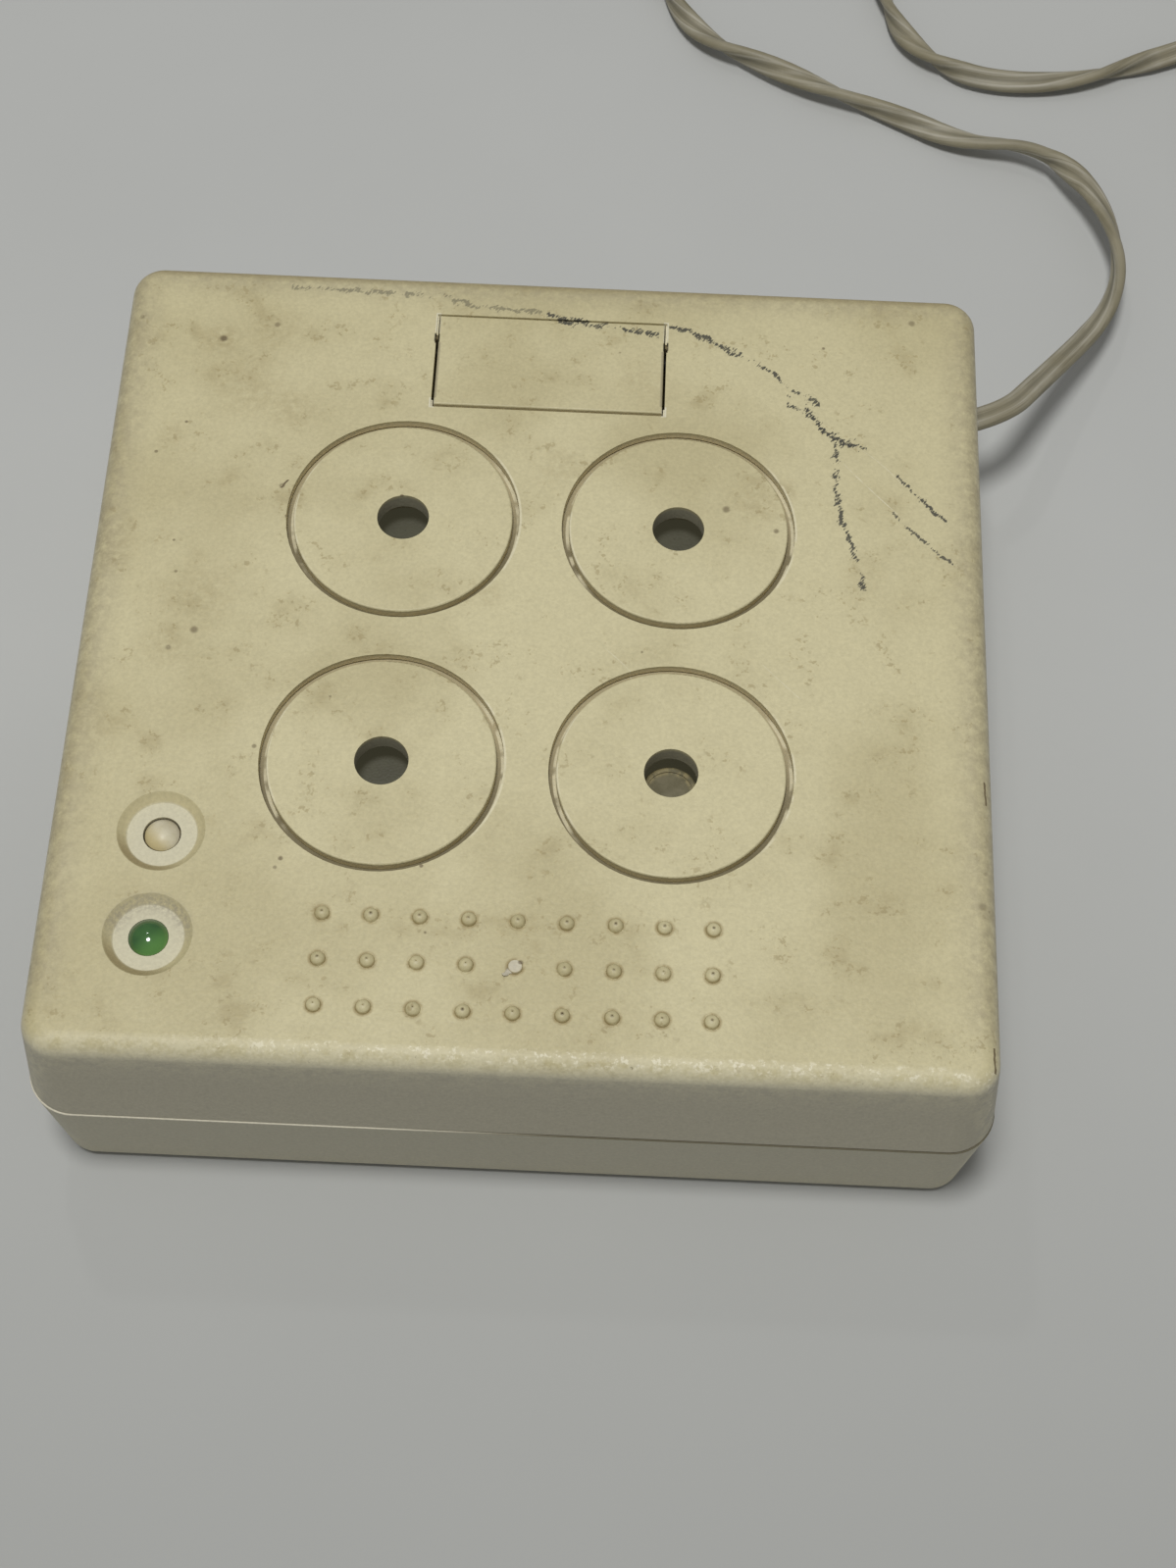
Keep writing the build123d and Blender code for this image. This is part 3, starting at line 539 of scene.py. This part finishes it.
inDish = ramp(tree, fromDish, 5.7, 5.5, False)
dishWall = laid(tree, colour, look["dull"], both(tree, inDish, 0.85))
lowSide = measure(tree, "DOT_PRODUCT", flat, (0.5, 1.0, 0))
nearLamp = maths(tree, "LESS_THAN", y, dishes["between"])
lowSide = maths(tree, "MULTIPLY_ADD", nearLamp, dishes["apart"], lowSide)
dishWall = laid(tree, dishWall, look["dirt"], both(tree, inDish, ramp(tree, lowSide, -55.5, -59.0), 0.75))
dishFloor = ramp(tree, fromDish, 4.75, 4.4)
colour = laid(tree, dishWall, look["floorRing"], dishFloor)
dusty = both(tree, ramp(tree, fromLamp, 6.2, 5.0), ramp(tree, fromLamp, 2.2, 5.2),
             ramp(tree, y, -46.5, -42.5), ramp(tree, noise(tree, scaled, 0.5, 3.0, 0.75), 0.3, 0.66))
colour = laid(tree, colour, look["dust"], both(tree, dusty, 0.7))

# painted highlight with wear: bright lips along the right edge of each ring gap's left and right stretch; and
# the rubbed pip
rightward = both(tree, foldX, maths(tree, "SIGN", x))
lipAt = mapped(tree, rightward, (-4.0, 4.0), (15.08, 15.92))
lip = maths(tree, "SUBTRACT", fromButton, lipAt)
lip = both(tree, ramp(tree, maths(tree, "ABSOLUTE", lip), 0.42, 0.3),
           ramp(tree, maths(tree, "ABSOLUTE", rightward), 11.0, 13.5),
           ramp(tree, noise(tree, scaled, 3.4, 2.0, 0.5), 0.36, 0.5))
colour = laid(tree, colour, look["lip"], both(tree, lip, 0.75))
wornPip = spotMask(tree, flat, (0.1, -47.2, 0.85, 1.0), 0.2)
colour = laid(tree, colour, look["bruise"], both(tree, wornPip, 0.6))
colour = laid(tree, colour, look["speck"],
              both(tree, spotMask(tree, flat, (0.75, -46.6, 0.32, 0.9), 0.4), 0.9))

# the bar's side gaps: pale worn ends, and painted shade as a dark spot at the pivot and a greyed edge between
for low, high, front, back, code in barEdges:
    beside = both(tree, ramp(tree, absX, low - 0.06, low + 0.06),
                  ramp(tree, absX, high + 0.06, high - 0.06), ramp(tree, y, front - 0.1, front + 0.1),
                  ramp(tree, y, back + 0.1, back - 0.1), ramp(tree, z, 38.6, 38.8))
    colour = laid(tree, colour, code, both(tree, beside, 0.85))

# parting line, a painted highlight on the left and painted shade on the right; then the rub marks over
# everything
atSeam = both(tree, ramp(tree, z, 20.6, 20.75), ramp(tree, z, 21.25, 20.95), ramp(tree, outer, 60.0, 61.0))
line = laid(tree, look["seamHighlight"], look["seamShade"], ramp(tree, x, -22.0, 10.0))
colour = laid(tree, colour, line, both(tree, atSeam, 0.9))
wander = maths(tree, "SUBTRACT", noise(tree, scaled, 1.7, 2.0, 0.6), 0.5)
stretches = mapped(tree, noise(tree, scaled, 2.6, 1.0, 0.5), (0.36, 0.5), (-0.2, 0.02))
hatch = addNode(tree, "ShaderNodeVectorRotate", {"Vector": scaled, "Angle": 0.7}, rotation_type="Z_AXIS")
hatch = vectors(tree, "MULTIPLY", hatch, (1.0, 0.3, 1.0))
dashes = maths(tree, "ADD", noise(tree, hatch, 0.24, 2.0, 0.6), stretches)
rubbed = largest(tree, [markMask(tree, parts, wander, dashes, m) for m in rubMarks])
colour = laid(tree, colour, look["rub"], both(tree, rubbed, ramp(tree, z, 38.0, 39.2)))
cut = largest(tree, [markMask(tree, parts, wander, 0.6, m) for m in nicks])
colour = laid(tree, colour, look["speck"], cut)
streak = maths(tree, "ADD", rough, 0.1)
scratched = largest(tree, [markMask(tree, parts, 0.0, streak, m) for m in paleMarks])
colour = laid(tree, colour, look["pale"], scratched)
mottle = mapped(tree, grain, (0.25, 0.75), (0.93, 1.07))
colour = addNode(tree, "ShaderNodeMix", {"Factor": 1.0, "A": colour, "B": mottle}, data_type="RGBA",
                 blend_type="MULTIPLY")
tree.links.new(colour.outputs["Result"], shader.inputs["Base Color"])

shine = mapped(tree, rough, target=(0.42, 0.62))
shine = maths(tree, "MULTIPLY_ADD", largest(tree, [inGap, rubbed]), 0.15, shine)
tree.links.new(shine.outputs[0], shader.inputs["Roughness"])
height = maths(tree, "MULTIPLY_ADD", grain, 0.035, both(tree, rough, 0.03))
bump = addNode(tree, "ShaderNodeBump", {"Height": height, "Strength": 1.0, "Distance": 0.001})
tree.links.new(bump.outputs["Normal"], shader.inputs["Normal"])
paint(agedAbs, "top_cover", "base_shell", "push_bar", *["button_" + b for b in buttons])
print("casing finished")


# smaller finishes

# ABS cap of the small button: smoother than the casing; painted light and shade across its dome, yellower low
# on the left and greyer towards the upper right; painted shade with dirt in its gap
ivoryCap, tree, shader, scaled, tone = mottled("ivoryCap", "#c8c0a2", "#d3ccb2", 1.8, 0.01, (0.4, 0.48),
                                               IOR=1.53)
parts = addNode(tree, "ShaderNodeSeparateXYZ", {0: scaled})
lean = measure(tree, "DOT_PRODUCT", scaled, (0.7, 0.7, 0))
tone = laid(tree, tone, "#bfae78", both(tree, ramp(tree, lean, -53.0, -55.4), 0.75))
tone = laid(tree, tone, "#9f947f", both(tree, ramp(tree, lean, -53.6, -51.6), 0.35))
tone = laid(tree, tone, "#86744d", ramp(tree, parts.outputs[2], 38.06, 37.96))
recolour(tree, shader, tone)
paint(ivoryCap, "small_button")

# flat twin PVC lead, once clear and now greyish beige: two ridges, painted shade in the groove between them
# and on the outer flanks, a painted highlight along each core's crown
softPvc, tree, shader, scaled, tone = mottled("softPvc", "#89836f", "#99937f", 9.0, 0.03, (0.48, 0.6),
                                              IOR=1.53)
across = addNode(tree, "ShaderNodeAttribute", attribute_name="across").outputs["Fac"]
along = addNode(tree, "ShaderNodeAttribute", attribute_name="along").outputs["Fac"]
off = maths(tree, "ABSOLUTE", across)
# painted shade in the groove between the cores
tone = laid(tree, tone, "#6f6a57", both(tree, ramp(tree, off, 0.26, 0.06), 0.65))
# painted highlight along each core's crown
streak = both(tree, ramp(tree, off, 0.34, 0.5), ramp(tree, off, 0.72, 0.56))
tone = laid(tree, tone, "#b7b2a2", both(tree, streak, 0.6))
# painted shade on the outer flanks
tone = laid(tree, tone, "#857d62", both(tree, ramp(tree, off, 0.8, 1.0), 0.5))
runs = addNode(tree, "ShaderNodeTexNoise", {"W": along, "Scale": 60.0, "Detail": 2.0}, noise_dimensions="1D")
tone = laid(tree, tone, "#8a8268", both(tree, ramp(tree, runs, 0.5, 0.7), 0.5))
ridges = addNode(tree, "ShaderNodeCombineXYZ",
                 {0: maths(tree, "MULTIPLY", across, 9.0), 1: maths(tree, "MULTIPLY", along, 90.0)})
ridges = addNode(tree, "ShaderNodeTexNoise", {"Vector": ridges, "Scale": 1.0, "Detail": 2.0})
tone = laid(tree, tone, "#6e6852", both(tree, ramp(tree, ridges, 0.5, 0.68), 0.55))
recolour(tree, shader, tone)
lead.data.materials.append(softPvc)

# the moulded collar where the lead enters, same PVC, dirtier
pvcCollar = mottled("pvcCollar", "#7f7962", "#958f7a", 2.5, 0.02, (0.4, 0.55))[0]
paint(pvcCollar, "cord_grommet")

# nitrile feet: dull and dusted
feetRubber = mottled("feetRubber", "#232322", "#34332f", 2.0, 0.05, (0.75, 0.9))[0]
paint(feetRubber, "rubber_feet")

# zinc plate on pressed steel: bright grey with a faint yellow passivation
zincPlate = mottled("zincPlate", "#a5a498", "#bcbdba", 1.6, 0.01, (0.28, 0.42), Metallic=1.0)[0]
paint(zincPlate, "cover_screws", "board_screws")
# tinned copper leads: whiter and softer looking than zinc
tinnedWire = mottled("tinnedWire", "#b3b2ad", "#c9c8c4", 1.0, 0.006, (0.3, 0.45), Metallic=1.0)[0]
paint(tinnedWire, "lamp_leads")
# drawn spring wire: grey, oily, a little blued
springWire = mottled("springWire", "#5d5e61", "#7b7c7e", 0.9, 0.008, (0.25, 0.4), Metallic=1.0)[0]
paint(springWire, "small_spring", "bar_springs", *["spring_" + b for b in buttons])

# blackened steel pin, oiled and dull with dust
oiledPin = mottled("oiledPin", "#33322e", "#42403b", 1.0, 0.02, (0.6, 0.75), Metallic=1.0)[0]
paint(oiledPin, "bar_pivot_pin")

# painted glow: the parts inside emit a little light, standing in for daylight that soaks through the thin pale
# shell, so what lies inside is never quite black
paintedGlow = {"Emission Color": linear("#413f31"), "Emission Strength": 0.64}

# phenolic paper board: tan-olive, mottled by its fibres, with tinned tracks on the upper face
phenolicBoard, tree, shader, scaled, tone = mottled("phenolicBoard", "#8a8055", "#9c9166", 4.0, 0.02,
                                                    (0.4, 0.55), **paintedGlow)
tracks = addNode(tree, "ShaderNodeTexBrick", {"Vector": scaled, "Scale": 0.2, "Mortar Size": 0.06,
                                              "Mortar Smooth": 0.1, "Row Height": 0.9, "Brick Width": 2.6})
parts = addNode(tree, "ShaderNodeSeparateXYZ", {0: scaled})
onBoard = both(tree, ramp(tree, parts.outputs[2], 22.4, 22.48), tracks.outputs["Fac"])
recolour(tree, shader, laid(tree, tone, "#a8a48e", both(tree, onBoard, 0.7)))
paint(phenolicBoard, "circuit_board")

# cast potting resin: dark olive, matt, with pin-hole bubbles
pottedResin, tree, shader, scaled, tone = mottled("pottedResin", "#353428", "#3d3c2e", 2.2, 0.04, (0.5, 0.65),
                                                  **paintedGlow)
holes = addNode(tree, "ShaderNodeTexVoronoi", {"Vector": scaled, "Scale": 0.7})
recolour(tree, shader,
         laid(tree, tone, "#25241b", both(tree, ramp(tree, holes.outputs["Distance"], 0.12, 0.07), 0.8)))
paint(pottedResin, "sealed_relays")

# shrunk vinyl sleeve, brown, glossy; its rim rolls over the can's dull top and shows paler there
sleeve, tree, shader, scaled, tone = mottled("shrunkSleeve", "#6c664c", "#787156", 2.0, 0.01, (0.35, 0.5))
parts = addNode(tree, "ShaderNodeSeparateXYZ", {0: scaled})
fromCan = vectors(tree, "MULTIPLY", scaled, (1, 1, 0))
fromCan = measure(tree, "DISTANCE", fromCan, (look["buttonAt"], -look["buttonAt"], 0))
rimOfSleeve = both(tree, ramp(tree, fromCan, 2.55, 2.95), ramp(tree, parts.outputs[2], 33.3, 33.5))
tone = laid(tree, tone, "#9c9068",
            both(tree, rimOfSleeve, ramp(tree, noise(tree, scaled, 1.1, 2.0, 0.6), 0.36, 0.6), 0.85))
stripe = both(tree, ramp(tree, parts.outputs[0], 21.4, 21.6), ramp(tree, parts.outputs[2], 33.3, 33.1))
recolour(tree, shader, laid(tree, tone, "#cfc8a8", both(tree, stripe, 0.8)))
paint(sleeve, "tall_capacitor")
blueSleeve, tree, shader, scaled, tone = mottled("blueSleeve", "#26334a", "#2f3f5a", 2.0, 0.01, (0.3, 0.45))
parts = addNode(tree, "ShaderNodeSeparateXYZ", {0: scaled})
recolour(tree, shader, laid(tree, tone, "#a3a5a6", ramp(tree, parts.outputs[2], 29.35, 29.45)))
paint(blueSleeve, "small_capacitors")

# transfer-moulded epoxy of the chip and switches; the chip's legs are tinned
tinned = "#b9b8b2"
mouldedEpoxy = mottled("mouldedEpoxy", "#1d1d1d", "#282827", 1.2, 0.03, (0.45, 0.6))[0]
paint(mouldedEpoxy, "small_switch", "bar_switch", *["switch_" + b for b in buttons])
chipEpoxy, tree, shader, scaled, tone = mottled("chipEpoxy", "#1c1c1c", "#262625", 1.2, 0.03, (0.45, 0.6))
parts = addNode(tree, "ShaderNodeSeparateXYZ", {0: scaled})
chip = {"middle": -43.0, "half": 3.15}
leg = maths(tree, "ABSOLUTE", maths(tree, "SUBTRACT", parts.outputs[1], chip["middle"]))
leg = ramp(tree, leg, chip["half"], chip["half"] + 0.15, False)
recolour(tree, shader, laid(tree, tone, tinned, leg))
tree.links.new(leg.outputs[0], shader.inputs["Metallic"])
paint(chipEpoxy, "control_chip")

# dipped resistors: beige coat, four colour bands, tinned wires
bands = {"middles": (-34.0, -6.0, 44.0), "half": 3.1, "places": (-2.0, -1.0, 0.0, 2.1),
         "colours": ("#5a3a1e", "#1b1b1b", "#a8642a", "#a08a3c")}
dippedCoat, tree, shader, scaled, tone = mottled("dippedCoat", "#a98f66", "#b79d74", 1.5, 0.02, (0.4, 0.5))
parts = addNode(tree, "ShaderNodeSeparateXYZ", {0: scaled})
gaps = []
for middle in bands["middles"]:
    gap = maths(tree, "SUBTRACT", parts.outputs[0], middle)
    near = maths(tree, "COMPARE", gap, 0.0, 8.0)
    gaps.append(both(tree, gap, near))
local = gaps[0]
for gap in gaps[1:]:
    local = maths(tree, "ADD", local, gap)
for where, code in zip(bands["places"], bands["colours"]):
    here = maths(tree, "COMPARE", local, where, 0.28)
    tone = laid(tree, tone, code, here)
away = maths(tree, "ABSOLUTE", local)
wire = ramp(tree, away, bands["half"] + 0.02, bands["half"] + 0.06, False)
recolour(tree, shader, laid(tree, tone, tinned, wire))
tree.links.new(wire.outputs[0], shader.inputs["Metallic"])
paint(dippedCoat, "resistors")

# glass-filled polyamide, blue-green, slightly fibrous
polyamide = mottled("polyamide", "#2c5a78", "#356786", 1.3, 0.05, (0.45, 0.6))[0]
paint(polyamide, "terminal_block")
# the lead's two cores inside the casing, the same PVC kept cleaner
coreJacket = mottled("coreJacket", "#8c8672", "#a49e8a", 3.0, 0.01, (0.35, 0.5))[0]
paint(coreJacket, "cord_cores")
# natural acetal: milky white, waxy
acetal = mottled("acetal", "#c9c8c0", "#d8d7d0", 2.0, 0.006, (0.3, 0.4))[0]
paint(acetal, *["plunger_" + b for b in buttons])

# tinted clear epoxy of the lamp: deep green; painted light and shade through the lens, lighter towards the
# lower right and darker towards the upper left
greenEpoxy, tree, shader, scaled, tone = mottled("greenEpoxy", "#30592c", "#3a6530", 3.0, 0.001, (0.1, 0.16),
                                                 IOR=1.55, **{"Coat Weight": 0.6, "Coat Roughness": 0.05})
lean = measure(tree, "DOT_PRODUCT", scaled, (0.6, -0.8, 0))
tone = laid(tree, tone, "#5d9044", both(tree, ramp(tree, lean, 7.6, 10.4), 0.75))
tone = laid(tree, tone, "#1c3d22", both(tree, ramp(tree, lean, 7.2, 5.4), 0.7))
recolour(tree, shader, tone)
paint(greenEpoxy, "green_lamp")

# black PVC of the plug, satin from handling, and its nickel-plated barrel
plugPvc = mottled("plugPvc", "#191919", "#242423", 4.0, 0.03, (0.4, 0.55))[0]
paint(plugPvc, "plug_body")
nickelPlate = mottled("nickelPlate", "#b8b3a6", "#c9c5b9", 2.0, 0.004, (0.16, 0.26), Metallic=1.0)[0]
paint(nickelPlate, "plug_barrel")
print("materials set")


# plug grip: rings round the plug's body, so that fingers hold it

grip = {"rings": 7, "pitch": 0.0016, "first": 0.0788, "thick": 0.00045, "proud": 0.0001, "around": 40,
        "section": 10}


def geometryTree(name, sizes):
    tree = bpy.data.node_groups.new(name, "GeometryNodeTree")
    tree.interface.new_socket("Geometry", in_out="OUTPUT", socket_type="NodeSocketGeometry")
    for label, kind in sizes:
        tree.interface.new_socket(label, in_out="INPUT", socket_type=kind)
    return tree, addNode(tree, "NodeGroupInput"), addNode(tree, "NodeGroupOutput")


def grown(name, tree, values, material, body):
    # runs the tree on an empty mesh, sets its inputs first, and keeps the result as a plain mesh
    seed = bpy.data.objects.new(name + "Seed", bpy.data.meshes.new(name + "Seed"))
    bpy.context.scene.collection.objects.link(seed)
    modifier = seed.modifiers.new(name, "NODES")
    modifier.node_group = tree
    for item in tree.interface.items_tree:
        if item.in_out == "INPUT" and item.name in values:
            modifier[item.identifier] = values[item.name]
    bpy.context.view_layer.update()
    evaluated = seed.evaluated_get(bpy.context.evaluated_depsgraph_get())
    mesh = bpy.data.meshes.new_from_object(evaluated)
    bpy.data.objects.remove(seed)
    mesh.shade_smooth()
    made = bpy.data.objects.new(name, mesh)
    bpy.context.scene.collection.objects.link(made)
    if not mesh.materials:
        mesh.materials.append(material)
    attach(made, body)
    return made


tree, given, result = geometryTree("gripRings", [
    ("Rings", "NodeSocketInt"), ("Start", "NodeSocketVector"), ("Step", "NodeSocketVector"),
    ("Radius", "NodeSocketFloat"), ("Thick", "NodeSocketFloat")])
rail = addNode(tree, "GeometryNodeMeshLine",
               {"Count": given.outputs["Rings"], "Start Location": given.outputs["Start"],
                "Offset": given.outputs["Step"]})
hoop = addNode(tree, "GeometryNodeCurvePrimitiveCircle",
               {"Resolution": grip["around"], "Radius": given.outputs["Radius"]})
wire = addNode(tree, "GeometryNodeCurvePrimitiveCircle",
               {"Resolution": grip["section"], "Radius": given.outputs["Thick"]})
ring = addNode(tree, "GeometryNodeCurveToMesh", {"Curve": hoop, "Profile Curve": wire})
rings = addNode(tree, "GeometryNodeInstanceOnPoints",
                {"Points": rail, "Instance": ring, "Rotation": (math.pi / 2, 0, 0)})
real = addNode(tree, "GeometryNodeRealizeInstances", {0: rings})
done = addNode(tree, "GeometryNodeSetMaterial", {"Geometry": real, "Material": plugPvc})
tree.links.new(done.outputs[0], result.inputs[0])
plugLow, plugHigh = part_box("plug_body")
plugAxis = ((plugLow[0] + plugHigh[0]) / 2, (plugLow[2] + plugHigh[2]) / 2)
plugRadius = (plugHigh[0] - plugLow[0]) / 2
plugGrip = grown("plugGrip", tree, {
    "Rings": grip["rings"], "Start": (plugAxis[0], grip["first"], plugAxis[1]), "Step": (0, -grip["pitch"], 0),
    "Radius": plugRadius + grip["proud"] - grip["thick"] / 2, "Thick": grip["thick"]}, plugPvc, "housing")
print("plug grip:", grip["rings"], "rings")


# two nylon ties hold the coil: a band round the bundle, a small head and a cut end

ties = {
    "angles": (205, 25), "middle": 0.0210, "half": 0.00745, "low": 0.0003, "high": 0.01125,
    "corner": 0.0019, "steps": 5, "band": 0.0007, "under": 0.00027, "wide": 0.0026,
    "head": (0.0030, 0.0046, 0.0040), "headZ": 0.0078, "headBevel": 0.0004, "sunk": 0.0002,
    "endLong": 0.007, "endThick": 0.0009, "endBevel": 0.0002,
}


def roundedLoop(half, low, high, corner, steps):
    spots = []
    for start, x, z in ((0, half, high), (90, -half, high), (180, -half, low), (270, half, low)):
        x -= math.copysign(corner, x)
        z += corner if start >= 180 else -corner
        for i in range(steps + 1):
            a = math.radians(start + 90 * i / steps)
            spots.append((x + corner * math.cos(a), z + corner * math.sin(a)))
    return spots


def addBox(shape, middle, size, bevel):
    made = bmesh.ops.create_cube(shape, size=1.0)["verts"]
    bmesh.ops.scale(shape, vec=size, verts=made)
    bmesh.ops.translate(shape, vec=middle, verts=made)
    edges = list({edge for vert in made for edge in vert.link_edges})
    bmesh.ops.bevel(shape, geom=edges, offset=bevel, segments=2, affect="EDGES")


def tieShape(angle):
    shape = bmesh.new()
    t = ties
    # the band: an inner and an outer loop, each at both edges
    inner = roundedLoop(t["half"], t["low"], t["high"], t["corner"], t["steps"])
    outer = roundedLoop(t["half"] + t["band"], t["low"] - t["under"], t["high"] + t["band"],
                        t["corner"] + t["band"], t["steps"])
    rings = [[shape.verts.new((t["middle"] + r, side * t["wide"] / 2, z)) for r, z in loop]
             for loop, side in ((inner, -1), (outer, -1), (outer, 1), (inner, 1))]
    count = len(inner)
    for a in range(4):
        for i in range(count):
            j = (i + 1) % count
            shape.faces.new((rings[a][i], rings[a][j], rings[(a + 1) % 4][j], rings[(a + 1) % 4][i]))
    bmesh.ops.recalc_face_normals(shape, faces=shape.faces[:])
    face = t["middle"] + t["half"] + t["band"]
    addBox(shape, (face + t["head"][0] / 2 - t["sunk"], 0, t["headZ"]), t["head"], t["headBevel"])
    addBox(shape, (face + t["head"][0] / 2, 0, t["headZ"] + t["endLong"] / 2),
           (t["endThick"], t["wide"], t["endLong"]), t["endBevel"])
    place = Matrix.Translation((*coil["centre"], 0)) @ Matrix.Rotation(math.radians(angle), 4, "Z")
    bmesh.ops.transform(shape, matrix=place, verts=shape.verts[:])
    return shape


tieMesh = bpy.data.meshes.new("coilTies")
whole = bmesh.new()
for angle in ties["angles"]:
    one = tieShape(angle)
    one.to_mesh(tieMesh)
    one.free()
    whole.from_mesh(tieMesh)
whole.to_mesh(tieMesh)
whole.free()
coilTies = bpy.data.objects.new("coilTies", tieMesh)
bpy.context.scene.collection.objects.link(coilTies)
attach(coilTies, "housing")
# natural nylon: milky, a little yellow, soft gloss
nylon = mottled("nylon", "#c2c0b0", "#d0cebf", 3.0, 0.01, (0.35, 0.45))[0]
tieMesh.materials.append(nylon)
print("coil ties:", len(ties["angles"]))


# the flap torn from the rubbed pip: a thin tongue of plastic that curls up off the top face

flap = {
    "root": (-0.00045, -0.04775, 0.03952), "heading": (-0.78, -0.62), "long": 0.0012,
    "wide": (0.0009, 0.0004), "curl": 0.00035, "thick": 0.00014, "rows": 8, "columns": 5,
    "ragged": 0.00008, "cupped": 0.0001,
}


def flapShape():
    f = flap
    ahead = Vector((*f["heading"], 0)).normalized()
    aside = Vector((-ahead.y, ahead.x, 0))
    verts, faces = [], []
    for layer in (0, 1):
        for row in range(f["rows"]):
            t = row / (f["rows"] - 1)
            half = (f["wide"][0] * (1 - t) + f["wide"][1] * t) / 2
            rise = f["curl"] * t * t + layer * f["thick"] * (1 - 0.6 * t)
            for column in range(f["columns"]):
                s = 2 * column / (f["columns"] - 1) - 1
                ragged = f["ragged"] * math.sin(7.0 * t + 3.0 * s)
                spot = Vector(f["root"]) + ahead * (f["long"] * t) + aside * (half * s + ragged)
                verts.append(spot + Vector((0, 0, rise - f["cupped"] * s * s)))
    wide, layerSize = f["columns"], f["rows"] * f["columns"]
    for row in range(f["rows"] - 1):
        for column in range(wide - 1):
            a = row * wide + column
            faces.append((a, a + wide, a + wide + 1, a + 1))
            faces.append(tuple(layerSize + v for v in (a, a + 1, a + wide + 1, a + wide)))
    border = list(range(wide)) + [(r + 1) * wide - 1 for r in range(1, f["rows"])]
    border += [layerSize - 1 - c for c in range(1, wide)] + [r * wide for r in range(f["rows"] - 2, 0, -1)]
    for a, b in zip(border, border[1:] + border[:1]):
        faces.append((a, b, layerSize + b, layerSize + a))
    return verts, faces


tornFlap = newObject("tornFlap", *flapShape(), "housing")
shape = bmesh.new()
shape.from_mesh(tornFlap.data)
bmesh.ops.recalc_face_normals(shape, faces=shape.faces[:])
shape.to_mesh(tornFlap.data)
shape.free()
# freshly torn ABS: stress-whitened, greyish violet at its edge
tornAbs = mottled("tornAbs", "#b3ac98", "#cbc4ad", 0.5, 0.03, (0.5, 0.65), IOR=1.53)[0]
tornFlap.data.materials.append(tornAbs)
print("rubbed pip dressed")


# each spring: the joint that presses on it, its seat height and the stroke at its top; here each gets a mesh
# of its own
springs = {"small_spring": ("small_press", 0.0280, 0.0008), "bar_springs": ("bar_rock", 0.0225, 0.0014)}
springs.update({"spring_" + b: (b + "_press", 0.0225, 0.0020) for b in buttons})
for name, (joint, seat, stroke) in springs.items():
    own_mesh(cad[name])
